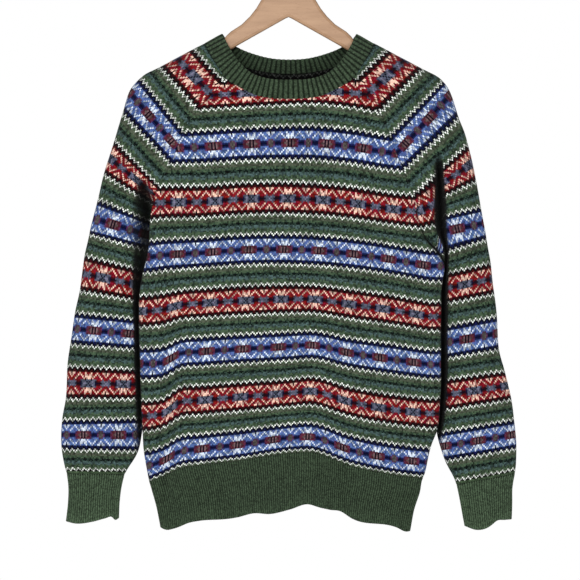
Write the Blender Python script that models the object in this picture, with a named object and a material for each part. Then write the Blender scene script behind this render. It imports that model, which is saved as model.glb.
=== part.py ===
"""Fair isle crew-neck jumper with raglan sleeves, on a flat wooden coat hanger.

Frame: +X is the viewer's right, the front faces -Y, +Z is up, and the origin is the
inner apex of the hanger's hook, where a rail holds it. "Left" is the viewer's left.
All sizes are millimetres until a mesh is made, which is in metres.

The knitted cloth is one set of courses (knitted rows) that run round the neck. Course 0
is the zigzag under the neckband at the centre front, and numbers grow downwards. Each
panel is a grid of rows along courses, and its wall lies inside that outer surface.
"""

import math
from collections import namedtuple

import bmesh
import bpy
import numpy as np

MILLIMETRE = 0.001

# Driving dimensions
CLOTH_WALL = 2.0
RIB_WALL = 1.8
RIB_RELIEF = 1.0
NECK_WALL = 2.4
NECK_RELIEF = 1.3
SEAM_GAP = 0.3
NECK_GAP = 0.5
NECK_COURSE = -20.0
UNDERARM_COURSE = 84.0
HEM_SEAM_COURSE = 241.0
HEM_COURSE = 290.0
BACK_HEM_LIFT = 8.0
NECK_BLEND_COURSE = 24.0
SLEEVE_NOSE = 18.0
PROFILE_POWER = 2.4

HEM_RIBS_EACH_SIDE = 124
CUFF_RIBS = 52
NECK_RIBS = 80
EDGE_SAMPLES = 440
NECK_SAMPLES = 2400

FRONT_COLUMNS = 28
BACK_COLUMNS = 20
SLEEVE_COLUMNS = 16
YOKE_COURSES = (-20, -15, -8, 0, 14, 24, 34, 44, 54, 64, 74, 84)
TORSO_COURSES = (104, 124, 144, 164, 184, 204, 222, 241)

HANGER_THICKNESS = 12.0
HANGER_EDGE = 4.5
HOOK_WIRE = 3.6
HOOK_INNER_RADIUS = 20.0
HOOK_SHANK_REACH = 20.0
HOOK_BORE_DEPTH = 21.0
HOOK_LEAVES_AT = math.radians(70)
HOOK_ENDS_AT = math.radians(205)

# Height of each course at the centre front
Course = namedtuple("Course", "course height")
CENTRE_FRONT = (
    Course(-30, -190.5),
    Course(-20, -211.0),
    Course(-10, -231.5),
    Course(-5, -241.8),
    Course(0, -251.7),
    Course(14, -281.1),
    Course(34, -331.3),
    Course(48, -362.6),
    Course(68, -410.3),
    Course(82, -438.0),
    Course(102, -483.1),
    Course(116, -510.9),
    Course(136, -553.7),
    Course(150, -579.4),
    Course(170, -622.0),
    Course(184, -647.5),
    Course(204, -688.8),
    Course(218, -712.9),
    Course(238, -752.2),
    Course(241, -756.5),
    Course(290, -838.0),
)

# How far a course hangs below its centre height, at each distance across the front
SAG_AT = (-201, -182, -157, -128, -70, 5, 31, 89, 147, 205)
Sag = namedtuple("Sag", "course drops")
FRONT_SAG = (
    Sag(-20, (10, 9, 8, 6, 3, 0, 0, 0, 4, 10)),
    Sag(0, (13, 12, 10, 7.5, 4, 0, -1, 4, 14, 18)),
    Sag(48, (6, 5, 5, 5, 1, 0, 1, 6, 15, 20)),
    Sag(102, (12, 9, 7, 5, 1, 0, 1, 6, 14, 25)),
    Sag(150, (23, 21, 10.5, 7.5, 4, 0, -1, 9, 17, 26)),
    Sag(184, (32, 29, 12, 9.5, 5, 0, -3, 12, 22, 28.5)),
    Sag(238, (43, 35, 22, 18, 11, 0, -1, 19, 31.5, 39)),
    Sag(290, (24, 27, 26, 16, 9, 0, -6, 11, 23, 33)),
)

# Raglan seams: across and through the garment, by the body's course
Seam = namedtuple("Seam", "course left_x left_y right_x right_y")
FRONT_SEAM = (
    Seam(-20, -91.5, -24, 94.5, -24),
    Seam(-10, -110.5, -27, 112.0, -27),
    Seam(0, -131.2, -30, 131.2, -30),
    Seam(14, -151.0, -31, 145.7, -31),
    Seam(34, -170.5, -29, 166.0, -30),
    Seam(48, -188.0, -25, 180.0, -28),
    Seam(62, -198.5, -18, 188.0, -23),
    Seam(70, -202.0, -12, 193.0, -17),
    Seam(77, -203.0, -5.5, 202.0, -9),
    Seam(84, -203.5, 0, 217.0, 0),
)
BackSeam = namedtuple("BackSeam", "course half_x y height")
BACK_SEAM = (
    BackSeam(-20, 91.5, 23, -185.5),
    BackSeam(-10, 111, 27, -209),
    BackSeam(0, 131, 31, -244),
    BackSeam(14, 147, 31.5, -272),
    BackSeam(34, 166, 30, -327),
    BackSeam(48, 182, 26, -362),
    BackSeam(62, 193, 18, -396),
    BackSeam(70, 198, 12, -417),
    BackSeam(77, 201, 5.5, -433),
    BackSeam(84, 203.5, 0, -451),
)

# Side seams and depth of the torso below the underarms
Side = namedtuple("Side", "course left_x right_x front_depth back_depth")
TORSO_SIDES = (
    Side(-20, -92.5, 95.5, 31, 33),
    Side(34, -169, 166, 32, 33),
    Side(84, -203.5, 217, 31, 31),
    Side(92, -205.9, 226.5, 31, 31),
    Side(100, -210.7, 225, 31, 31),
    Side(109, -214.9, 222.5, 30.5, 31),
    Side(118, -217.3, 222, 30, 31),
    Side(136, -217.3, 221.5, 30, 30),
    Side(150, -216.5, 222, 30, 30),
    Side(170, -215.3, 222, 29, 30),
    Side(184, -214.5, 221, 29, 29),
    Side(204, -212.5, 217, 28, 28),
    Side(218, -210.5, 207, 27, 27),
    Side(238, -203, 197, 25, 26),
    Side(241, -202, 195, 25, 25),
    Side(256, -197, 190.5, 24, 24),
    Side(273, -190.7, 182, 23, 23),
    Side(290, -186, 177, 22, 22),
)

# Neck ring, half of it, from the centre front to the centre back
NECK_CENTRE = 1.5
Neck = namedtuple("Neck", "seam_x seam_y seam_z top_x top_y top_z")
NECK_HALF = (
    Neck(0, -31, -243.8, 0, -25, -216.6),
    Neck(24, -31, -242.8, 21, -25, -216.2),
    Neck(48, -30, -238.6, 40, -24.5, -212.8),
    Neck(72, -28, -227.0, 58, -22.5, -205.0),
    Neck(93, -24, -213.0, 73.5, -19.5, -190.6),
    Neck(109.5, -20.5, -187.5, 86, -18.5, -173.0),
    Neck(122.5, 0, -162.5, 98.5, 0, -149.0),
    Neck(112, 17, -172.5, 91, 15, -158.0),
    Neck(90, 23, -185.5, 73, 15, -169.5),
    Neck(59, 29.5, -196.5, 49, 18, -178.5),
    Neck(29, 32, -202.3, 25, 19, -184.0),
    Neck(0, 33, -204.0, 0, 19, -185.5),
)
NECK_TURN = 2 * (len(NECK_HALF) - 1)
FRONT_RAGLAN_TURN = 4
RIDGE_TURN = 6
BACK_RAGLAN_TURN = 8

# Sleeve caps, from the neck to the underarm: the ridge over the shoulder, by the body's
# course at the raglan seam
Cap = namedtuple("Cap", "seam_course outer_x outer_z")
LEFT_CAP = (
    Cap(-20, -121, -162.5),
    Cap(-14.5, -136, -169.5),
    Cap(0, -187, -196.5),
    Cap(14, -213.5, -211.5),
    Cap(24, -231, -231),
    Cap(34, -241, -264),
    Cap(48, -252.5, -301),
    Cap(59, -268.3, -352.3),
    Cap(68, -276.8, -386.7),
    Cap(84, -287.5, -430),
)
RIGHT_CAP = (
    Cap(-20, 124, -162.5),
    Cap(-14.5, 141, -171),
    Cap(0, 195, -199.5),
    Cap(14, 223, -216),
    Cap(24, 235.5, -234),
    Cap(34, 248, -271),
    Cap(48, 260, -306.6),
    Cap(57, 273, -362.5),
    Cap(64, 279.1, -397.3),
    Cap(84, 287.5, -445),
)

# Sleeve tubes and cuffs: both ends of each flattened ring, half its depth, and how far
# its middle hangs behind the torso's side seam
Ring = namedtuple("Ring", "course outer_x outer_z inner_x inner_z depth behind")
LEFT_TUBE = (
    Ring(97, -287.5, -430, -204, -451, 18, 0),
    Ring(106, -291.3, -447.5, -205.5, -471, 18, 5.5),
    Ring(116, -296.2, -468.3, -208.2, -491, 17.5, 10.5),
    Ring(126, -300, -495, -210.7, -514, 17, 13),
    Ring(136, -303.8, -522, -212.5, -537, 17, 13.5),
    Ring(150, -310, -551.5, -212.5, -562, 17, 13.5),
    Ring(170, -317.4, -599.5, -211.8, -607.5, 17, 13.5),
    Ring(184, -321.2, -629.3, -211.3, -635, 17, 13.5),
    Ring(204, -324.2, -678.6, -210.8, -678.6, 17, 13.5),
    Ring(218, -329, -707.6, -211, -705, 16.5, 13),
    Ring(238, -330, -752, -218.5, -754.5, 15.5, 11),
    Ring(252, -325, -779.6, -234, -781, 14.5, 9),
    Ring(256, -322.6, -787, -238, -788, 14, 9),
)
RIGHT_TUBE = (
    Ring(101, 287.5, -445, 217.5, -466, 20, 0),
    Ring(108, 290.3, -461, 223.5, -481, 19.5, 8.5),
    Ring(116, 293.6, -479.3, 222.8, -496.6, 19, 12),
    Ring(126, 296.5, -503, 219, -519, 18.5, 13),
    Ring(136, 299.4, -526.3, 218, -542, 18, 13.5),
    Ring(150, 303.3, -556.8, 217.5, -573, 18, 14),
    Ring(170, 306.7, -606.9, 217.5, -622, 18, 14),
    Ring(184, 313.9, -636.5, 217.5, -650, 18, 14),
    Ring(204, 324.1, -679.7, 215.5, -697, 17.5, 13.5),
    Ring(218, 328, -707, 215.5, -726, 17, 12.5),
    Ring(238, 331.3, -751, 228, -768.5, 16.5, 10.5),
    Ring(252, 330.6, -779.6, 241.5, -796, 15.5, 9),
    Ring(256, 329.5, -787, 244, -803, 15, 9),
)
LEFT_CUFF = (
    Ring(256, -322, -787.3, -238.8, -788.3, 13.5, 9),
    Ring(266, -319.8, -806, -243, -806, 13, 8.5),
    Ring(280, -320.5, -832, -246, -831, 13, 8),
    Ring(294, -323.5, -856, -246.5, -853, 14, 8),
)
RIGHT_CUFF = (
    Ring(256, 328.8, -787.3, 244.8, -803.3, 14.5, 9),
    Ring(266, 325.5, -806, 248.5, -821, 14, 8.5),
    Ring(280, 325, -830, 252.5, -843, 14, 8),
    Ring(294, 324.5, -853, 256, -863, 15, 8),
)
TUBE_STEPS = 9

# Soft folds of the front and back: a line down the cloth, its width, and how far it goes
# in (a trough) or, where negative, stands out (a ridge)
Fold = namedtuple("Fold", "top_x top_z bottom_x bottom_z width depth")
FRONT_FOLDS = (
    Fold(-166, -590, -180, -800, 13, 8),
    Fold(-140, -600, -150, -800, 18, -3),
    Fold(34, -600, 20, -850, 28, -6),
    Fold(78, -690, 84, -850, 18, 5),
    Fold(-95, -770, -92, -850, 16, 3),
    Fold(-60, -780, -58, -850, 16, -3),
    Fold(180, -480, 196, -700, 16, 4),
    Fold(-185, -330, -178, -460, 12, 3),
)
BACK_FOLDS = (
    Fold(-150, -560, -168, -800, 15, 6),
    Fold(-40, -620, -30, -850, 28, -6),
    Fold(60, -560, 92, -800, 22, 5),
    Fold(160, -620, 170, -850, 18, 5),
    Fold(0, -260, 10, -420, 40, -4),
)

# Upper edge of the wooden hanger, right half, from the head to the arm's tip, and the
# lower edge back to the middle
HANGER_TOP = (
    (0, -66),
    (17, -66),
    (24, -69),
    (28.5, -76),
    (33, -86),
    (40, -100),
    (47, -111.6),
    (56, -123),
    (68, -134.8),
    (84, -145.2),
    (91, -152),
    (98, -162),
    (121, -175.5),
    (134, -178.5),
    (158, -184.5),
    (181.5, -197),
    (193, -203.5),
    (199.5, -208),
)
HANGER_TIP = ((203, -213.5), (201.5, -220.5), (195, -224.5), (184, -223))
HANGER_LOWER = ((150, -208.5), (61, -158), (4, -125.9), (0, -124.2))

# Colour, roughness, metallic
GREEN_RIB = ((0.058, 0.094, 0.043), 0.95, 0.0)
KNIT = ((0.11, 0.12, 0.13), 0.95, 0.0)
BEECH = ((0.56, 0.36, 0.21), 0.55, 0.0)
STEEL = ((0.62, 0.62, 0.63), 0.28, 1.0)


def smooth(knots, values, at):
    """Values at the given places of a smooth curve through the knots."""
    knots = np.asarray(knots, float)
    values = np.asarray(values, float)
    at = np.clip(np.asarray(at, float), knots[0], knots[-1])
    slopes = np.gradient(values, knots, axis=0)
    left = np.clip(np.searchsorted(knots, at) - 1, 0, len(knots) - 2)
    span = knots[left + 1] - knots[left]
    t = (at - knots[left]) / span
    if values.ndim > 1:
        t = t[..., None]
        span = span[..., None]
    ahead = t * t * (3 - 2 * t)
    rise = values[left] * (1 - ahead) + values[left + 1] * ahead
    lean = slopes[left] * t * (1 - t) ** 2 - slopes[left + 1] * t * t * (1 - t)
    return rise + lean * span


def column(rows, name):
    return [getattr(row, name) for row in rows]


def look_up(rows, key, name, at):
    """A table's column as a smooth function of another of its columns."""
    return smooth(column(rows, key), column(rows, name), at)


def ease(value, start, end):
    """0 before start, 1 after end, and smooth between them."""
    t = np.clip((np.asarray(value, float) - start) / (end - start), 0, 1)
    return t * t * (3 - 2 * t)


def mix(a, b, share):
    return a + (b - a) * share


def front_height(x, course):
    """Height of a course of the front, at a distance across it."""
    x, course = np.broadcast_arrays(np.asarray(x, float), np.asarray(course, float))
    drops = np.stack([smooth(SAG_AT, row.drops, x) for row in FRONT_SAG])
    knots = np.array(column(FRONT_SAG, "course"), float)
    at = np.clip(course, knots[0], knots[-1])
    below = np.clip(np.searchsorted(knots, at) - 1, 0, len(knots) - 2)
    share = (at - knots[below]) / (knots[below + 1] - knots[below])
    upper = np.take_along_axis(drops, below[None], 0)[0]
    lower = np.take_along_axis(drops, below[None] + 1, 0)[0]
    return look_up(CENTRE_FRONT, "course", "height", course) - mix(upper, lower, share)


def neck_ring(turn, edge):
    """Points on the neckband's "seam" or "top" edge.

    turn counts the rows of NECK_HALF: 0 at the centre front, rising to the right.
    """
    count = len(NECK_HALF)
    picks = list(range(count)) + list(range(count - 2, 0, -1))
    points = []
    for place, pick in enumerate(picks):
        row = NECK_HALF[pick]
        side = 1 if place < count else -1
        x, y, z = (getattr(row, f"{edge}_{axis}") for axis in "xyz")
        points.append((NECK_CENTRE + side * x, y, z))
    ring = np.array(points * 3)
    knots = np.arange(len(ring)) - NECK_TURN
    return smooth(knots, ring, np.mod(turn, NECK_TURN))


def underarm(side):
    """The underarm point, where both raglan seams and both side seams meet."""
    x = FRONT_SEAM[-1].left_x if side < 0 else FRONT_SEAM[-1].right_x
    return np.array([x, 0.0, float(front_height(x, UNDERARM_COURSE))])


def front_seam(course, side):
    """Point on the front raglan seam, side -1 for the left one."""
    if course <= NECK_COURSE:
        return neck_ring(side * FRONT_RAGLAN_TURN, "seam")
    name = "left" if side < 0 else "right"
    x = look_up(FRONT_SEAM, "course", f"{name}_x", course)
    y = look_up(FRONT_SEAM, "course", f"{name}_y", course)
    return np.array([float(x), float(y), float(front_height(x, course))])


def back_seam(course, side):
    """Point on the back raglan seam: both are alike but run to their own underarm."""
    if course <= NECK_COURSE:
        return neck_ring(side * BACK_RAGLAN_TURN, "seam")
    x, y, z = (look_up(BACK_SEAM, "course", name, course) for name in BackSeam._fields[1:])
    point = np.array([side * float(x), float(y), float(z)])
    last = BACK_SEAM[-1]
    shift = underarm(side) - np.array([side * last.half_x, last.y, last.height])
    share = (course - NECK_COURSE) / (UNDERARM_COURSE - NECK_COURSE)
    return point + shift * share**3


def side_seam(course, side):
    """Point on the torso's side seam below the underarm."""
    name = "left_x" if side < 0 else "right_x"
    x = float(look_up(TORSO_SIDES, "course", name, course))
    return np.array([x, 0.0, float(front_height(x, course))])


def fold_depth(folds, x, z):
    """How far the folds push the cloth in at the given places."""
    total = np.zeros(np.shape(x))
    for fold in folds:
        along = (fold.top_z - z) / (fold.top_z - fold.bottom_z)
        away = x - mix(fold.top_x, fold.bottom_x, along)
        ends = ease(along, -0.25, 0.35) * (1 - ease(along, 1.0, 1.3))
        total = total + fold.depth * ends * np.exp(-((away / fold.width) ** 2))
    return total


def seam_end(facing, y):
    """Which way the wall's inner side lies from a panel's edge.

    facing is -1 or 1, the side to which the panel's outer face turns at the underarm.
    """
    turned = math.asin(min(1.0, abs(y) / SLEEVE_NOSE))
    return np.array([facing * math.cos(turned), math.copysign(math.sin(turned), y), 0.0])


def profile(share, roundness):
    """Depth of a flattened section, from 0 at its edges to 1 in the middle."""
    across = np.abs(2 * share - 1)
    rounded = np.clip(1 - across**PROFILE_POWER, 0, 1) ** (1 / PROFILE_POWER)
    return mix(4 * share * (1 - share), rounded, roundness)


def normals_of(grid, wrapped_from, outward):
    """Unit normals of a grid of points; rows from wrapped_from on are closed rings."""
    across = np.gradient(grid, axis=1)
    down = np.gradient(grid, axis=0)
    across[wrapped_from:, 0] = (grid[wrapped_from:, 1] - grid[wrapped_from:, -2]) / 2
    across[wrapped_from:, -1] = across[wrapped_from:, 0]
    normals = np.cross(across, down)
    normals /= np.linalg.norm(normals, axis=2, keepdims=True)
    rows, columns = grid.shape[:2]
    test = normals[rows // 2, columns // 4]
    return normals if np.dot(test, outward) > 0 else -normals


def torso_row(course, columns, face):
    """A row of the front (face -1) or back (face 1) along one course."""
    share = np.linspace(0, 1, columns + 1)
    roundness = float(ease(course, 30, UNDERARM_COURSE))
    spread = mix(share, (1 - np.cos(np.pi * share)) / 2, 0.8 * roundness)
    seam = front_seam if face < 0 else back_seam
    if course >= UNDERARM_COURSE:
        seam = side_seam
    left, right = seam(course, -1), seam(course, 1)
    x = mix(left[0], right[0], spread)
    name = "front_depth" if face < 0 else "back_depth"
    edge = mix(abs(left[1]), abs(right[1]), spread)
    depth = np.maximum(float(look_up(TORSO_SIDES, "course", name, course)), edge)
    y = edge + (depth - edge) * profile(spread, roundness)
    lag = (NECK_BLEND_COURSE - course) / (NECK_BLEND_COURSE - NECK_COURSE)
    lag = max(0.0, lag)
    if face < 0:
        neck = neck_ring(mix(-FRONT_RAGLAN_TURN, FRONT_RAGLAN_TURN, share), "seam")
        start = course_at(neck[:, 0], neck[:, 2]) - NECK_COURSE
        z = front_height(x, course + start * lag)
    else:
        neck = neck_ring(mix(NECK_TURN - BACK_RAGLAN_TURN, BACK_RAGLAN_TURN, share), "seam")
        z = back_height(course, spread, left[2], right[2])
        neck_ends = neck[0, 2], neck[-1, 2]
        z += (neck[:, 2] - back_height(NECK_COURSE, spread, *neck_ends)) * lag**2
    z[0], z[-1] = left[2], right[2]
    folds = FRONT_FOLDS if face < 0 else BACK_FOLDS
    y = y - fold_depth(folds, x, z) * ease(spread, 0, 0.06) * (1 - ease(spread, 0.94, 1))
    return np.stack([x, face * y, z], axis=1)


def course_at(x, z):
    """Course of the front at a point of it near the neck."""
    courses = np.linspace(NECK_COURSE - 3, 30, 115)
    heights = front_height(np.asarray(x)[:, None], courses[None])
    return np.array([np.interp(-place, -line, courses) for place, line in zip(z, heights)])


def back_height(course, spread, left, right):
    """Height of a course across the back, between its heights at the two edges."""
    middle = float(look_up(CENTRE_FRONT, "course", "height", course))
    middle += BACK_HEM_LIFT * ease(course, HEM_SEAM_COURSE, HEM_COURSE)
    return mix(left, right, spread) + (middle - (left + right) / 2) * 4 * spread * (1 - spread)


def torso_grid(columns, face):
    """All rows of the front or back, from the neck seam to the hem rib."""
    turns = {-1: (-FRONT_RAGLAN_TURN, FRONT_RAGLAN_TURN)}
    turns[1] = (NECK_TURN - BACK_RAGLAN_TURN, BACK_RAGLAN_TURN)
    neck = neck_ring(np.linspace(*turns[face], columns + 1), "seam")
    rows = [neck]
    for course in YOKE_COURSES[1:] + TORSO_COURSES:
        rows.append(torso_row(course, columns, face))
    grid = np.stack(rows)
    grid[:, :, 1] += face * SEAM_GAP / 2
    yoke = len(YOKE_COURSES) - 1
    grid[:yoke, 0, 0] += SEAM_GAP
    grid[:yoke, -1, 0] -= SEAM_GAP
    return grid


def torso_panel(name, columns, face, material):
    """Front or back panel; returns the outer and inner points of its neck edge."""
    outer = torso_grid(columns, face)
    normals = normals_of(outer, len(outer), np.array([0, face, 0]))
    for row in range(len(outer)):
        for place, facing in ((0, -1), (-1, 1)):
            normals[row, place] = seam_end(facing, face * abs(seam_depth(row, place, face)))
    inner = outer - CLOTH_WALL * normals
    make_wall(name, outer, inner, len(outer), material)
    return outer[0], inner[0]


def seam_depth(row, place, face):
    """Depth of the raglan seam at a row's end, 0 below the underarm."""
    if row >= len(YOKE_COURSES):
        return 0.0
    seam = front_seam if face < 0 else back_seam
    return seam(YOKE_COURSES[row], -1 if place == 0 else 1)[1]


def sleeve_row(outer, front, back, depth):
    """A ring, or an open bow over the shoulder, from the front seam to the back seam."""
    half = SLEEVE_COLUMNS // 2
    points = []
    for place in range(SLEEVE_COLUMNS + 1):
        end, face = (front, -1) if place <= half else (back, 1)
        deep = max(depth, abs(end[1]))
        last = math.pi - math.asin(min(1.0, abs(end[1]) / deep))
        angle = last * abs(place - half) / half
        across = (1 - math.cos(angle)) / (1 - math.cos(last))
        point = mix(outer, end, across)
        point[1] = face * deep * math.sin(angle)
        points.append(point)
    return np.array(points)


def sleeve_neck_row(side):
    """The sleeve's edge at the neckband, with its points gathered at the shoulder."""
    half = SLEEVE_COLUMNS // 2
    steps = np.sin(np.linspace(-math.pi / 2, math.pi / 2, SLEEVE_COLUMNS + 1))
    turns = np.where(
        np.arange(SLEEVE_COLUMNS + 1) <= half,
        RIDGE_TURN + steps * (RIDGE_TURN - FRONT_RAGLAN_TURN),
        RIDGE_TURN + steps * (BACK_RAGLAN_TURN - RIDGE_TURN),
    )
    return neck_ring(side * turns, "seam")


def tube_rows(table, courses):
    rows = []
    for course in courses:
        outer_x, outer_z, inner_x, inner_z, depth, behind = (
            float(look_up(table, "course", name, course)) for name in Ring._fields[1:]
        )
        outer = np.array([outer_x, 0.0, outer_z])
        inner = np.array([inner_x, 0.0, inner_z])
        rows.append(sleeve_row(outer, inner, inner, depth) + (0, behind, 0))
    return rows


def sleeve(name, side, cap, tube, material):
    """Cap and tube of a sleeve; returns the outer and inner points of its neck edge."""
    rows = [sleeve_neck_row(side)]
    for course in YOKE_COURSES[1:]:
        outer_x = float(look_up(cap, "seam_course", "outer_x", course))
        outer_z = float(look_up(cap, "seam_course", "outer_z", course))
        outer = np.array([outer_x, 0.0, outer_z])
        front, back = front_seam(course, side), back_seam(course, side)
        rows.append(sleeve_row(outer, front, back, SLEEVE_NOSE))
    closed_from = len(rows) - 1
    rows += tube_rows(tube, np.linspace(tube[0].course, tube[-1].course, TUBE_STEPS + 1)[1:])
    outer = np.stack(rows)
    outer[: closed_from + 1, (0, -1), 0] += side * SEAM_GAP
    normals = normals_of(outer, closed_from, np.array([0, -1, 0]))
    for row in range(closed_from + 1):
        for place, seam in ((0, front_seam), (-1, back_seam)):
            depth = seam(YOKE_COURSES[row], side)[1]
            normals[row, place] = seam_end(-side, depth)
    inner = outer - CLOTH_WALL * normals
    make_wall(name, outer, inner, closed_from, material)
    return outer[0], inner[0]


def resample(points, count, closed):
    """Points at even distances along a run of straight lines."""
    steps = np.linalg.norm(np.diff(points, axis=0), axis=1)
    along = np.concatenate([[0], np.cumsum(steps)])
    at = np.linspace(0, along[-1], count + 1)
    even = np.stack([np.interp(at, along, points[:, axis]) for axis in range(3)], axis=1)
    return even[:-1] if closed else even


def ribbed(base, normals, columns_per_rib, relief, wall, keep):
    """Outer points with raised ribs and fewer, plain inner points."""
    place = np.arange(base.shape[1])
    raised = np.where(place % columns_per_rib < (columns_per_rib + 1) // 2, 1.0, 0.0)
    outer = base + normals * (relief * (raised - 0.5))[None, :, None]
    inner = (base - normals * (wall + relief / 2))[:, ::keep]
    return outer, inner


def hem_half(name, face, strips, panel_edge, material):
    """Front or back half of the ribbed hem, under the panel's lower edge."""
    columns = 2 * HEM_RIBS_EACH_SIDE
    rows = []
    for course in np.linspace(HEM_SEAM_COURSE, HEM_COURSE, strips + 1):
        fine = torso_row(course, EDGE_SAMPLES, face)
        rows.append(resample(fine, columns, False))
    base = np.stack(rows)
    base[0, :, 2] = np.interp(base[0, :, 0], panel_edge[:, 0], panel_edge[:, 2]) - SEAM_GAP
    base[:, :, 1] += face * SEAM_GAP / 2
    normals = normals_of(base, len(base), np.array([0, face, 0]))
    normals[:, 0] = (-1, 0, 0)
    normals[:, -1] = (1, 0, 0)
    normals[:, :, 2] = 0
    normals /= np.linalg.norm(normals, axis=2, keepdims=True)
    outer, inner = ribbed(base, normals, 2, RIB_RELIEF, RIB_WALL, 4)
    make_ribbed_wall(name, outer, inner, False, material)


def cuff(name, table, material):
    """Ribbed cuff: rings at the heights of its table, with even ribs all round."""
    columns = 2 * CUFF_RIBS
    rows = []
    for ring in table:
        outer = np.array([ring.outer_x, 0.0, ring.outer_z])
        inner = np.array([ring.inner_x, 0.0, ring.inner_z])
        angle = np.linspace(0, 2 * math.pi, EDGE_SAMPLES + 1)
        across = ((1 - np.cos(angle)) / 2)[:, None]
        points = mix(outer, inner, across)
        points[:, 1] = ring.behind - ring.depth * np.sin(angle)
        rows.append(resample(points, columns, True))
    base = np.stack(rows)
    ringed = np.concatenate([base, base[:, :1]], axis=1)
    normals = normals_of(ringed, 0, np.array([0, -1, 0]))[:, :-1]
    outer, inner = ribbed(base, normals, 2, RIB_RELIEF, RIB_WALL, 2)
    make_ribbed_wall(name, outer, inner, True, material)


def neckband(edges, material):
    """Ribbed ring that rises from the neck edges of the four panels."""
    outer_edge = np.concatenate([outer for outer, _ in edges])
    inner_edge = np.concatenate([inner for _, inner in edges])
    outer_edge = np.concatenate([outer_edge, outer_edge[:1]])
    inner_edge = np.concatenate([inner_edge, inner_edge[:1]])
    steps = np.linalg.norm(np.diff(outer_edge, axis=0), axis=1)
    along = np.concatenate([[0], np.cumsum(steps)])
    turns = np.linspace(0, NECK_TURN, NECK_SAMPLES + 1)
    ring = neck_ring(turns, "seam")
    top = neck_ring(turns, "top")
    columns = 3 * NECK_RIBS
    at = np.linspace(0, along[-1], columns, endpoint=False)
    foot = np.stack([np.interp(at, along, outer_edge[:, k]) for k in range(3)], axis=1)
    inside = np.stack([np.interp(at, along, inner_edge[:, k]) for k in range(3)], axis=1)
    near = [np.argmin(np.linalg.norm(ring - point, axis=1)) for point in foot]
    crown = top[near]
    band = crown - foot
    band /= np.linalg.norm(band, axis=1, keepdims=True)
    base = np.stack([mix(foot + NECK_GAP * band, crown, share) for share in (0, 0.34, 0.67, 1)])
    normals = normals_of(np.concatenate([base, base[:, :1]], axis=1), 0, np.array([0, -1, 0]))
    normals = normals[:, :-1]
    seam_normals = foot - inside
    seam_normals /= np.linalg.norm(seam_normals, axis=1, keepdims=True)
    normals[0] = seam_normals
    outer, inner = ribbed(base, normals, 3, NECK_RELIEF, NECK_WALL, 3)
    make_ribbed_wall("neck_rib", outer, inner, True, material)


def make_object(name, mesh, material):
    """Give the mesh its object and material, with its faces turned outwards."""
    mesh.verts.index_update()
    bmesh.ops.recalc_face_normals(mesh, faces=mesh.faces)
    data = bpy.data.meshes.new(name)
    mesh.to_mesh(data)
    mesh.free()
    data.shade_smooth()
    data.set_sharp_from_angle(angle=math.radians(50))
    data.materials.append(material)
    part = bpy.data.objects.new(name, data)
    bpy.context.scene.collection.objects.link(part)
    return part


def add_points(mesh, grid):
    return [[mesh.verts.new(point * MILLIMETRE) for point in row] for row in grid]


def make_wall(name, outer, inner, closed_from, material):
    """Closed wall between two grids; rows from closed_from on are rings."""
    mesh = bmesh.new()
    faces = [add_points(mesh, outer), add_points(mesh, inner)]
    for grid in faces:
        for row in grid[closed_from:]:
            mesh.verts.remove(row[-1])
            row[-1] = row[0]
    outside, inside = faces
    last = len(outer) - 1
    for grid in faces:
        for upper, lower in zip(grid, grid[1:]):
            for k in range(len(upper) - 1):
                mesh.faces.new((upper[k], upper[k + 1], lower[k + 1], lower[k]))
    for row in (0, last):
        for k in range(len(outside[row]) - 1):
            mesh.faces.new((outside[row][k], outside[row][k + 1], inside[row][k + 1], inside[row][k]))
    for row in range(min(closed_from, last)):
        for k in (0, -1):
            mesh.faces.new((outside[row][k], outside[row + 1][k], inside[row + 1][k], inside[row][k]))
    make_object(name, mesh, material)


def make_ribbed_wall(name, outer, inner, closed, material):
    """Closed wall between a finely ribbed outer grid and a coarser inner one."""
    mesh = bmesh.new()
    outside, inside = add_points(mesh, outer), add_points(mesh, inner)
    if closed:
        for row in outside + inside:
            row.append(row[0])
    for grid in (outside, inside):
        for upper, lower in zip(grid, grid[1:]):
            for k in range(len(upper) - 1):
                mesh.faces.new((upper[k], upper[k + 1], lower[k + 1], lower[k]))
    ratio = (len(outside[0]) - 1) // (len(inside[0]) - 1)
    for row in (0, -1):
        for k in range(len(inside[row]) - 1):
            near, far = inside[row][k], inside[row][k + 1]
            for m in range(ratio):
                tip = near if m < ratio // 2 else far
                first = outside[row][ratio * k + m]
                mesh.faces.new((first, outside[row][ratio * k + m + 1], tip))
            mesh.faces.new((near, far, outside[row][ratio * k + ratio // 2]))
    if not closed:
        for row in range(len(outside) - 1):
            for k in (0, -1):
                corners = (outside[row][k], outside[row + 1][k], inside[row + 1][k], inside[row][k])
                mesh.faces.new(corners)
    make_object(name, mesh, material)


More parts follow.
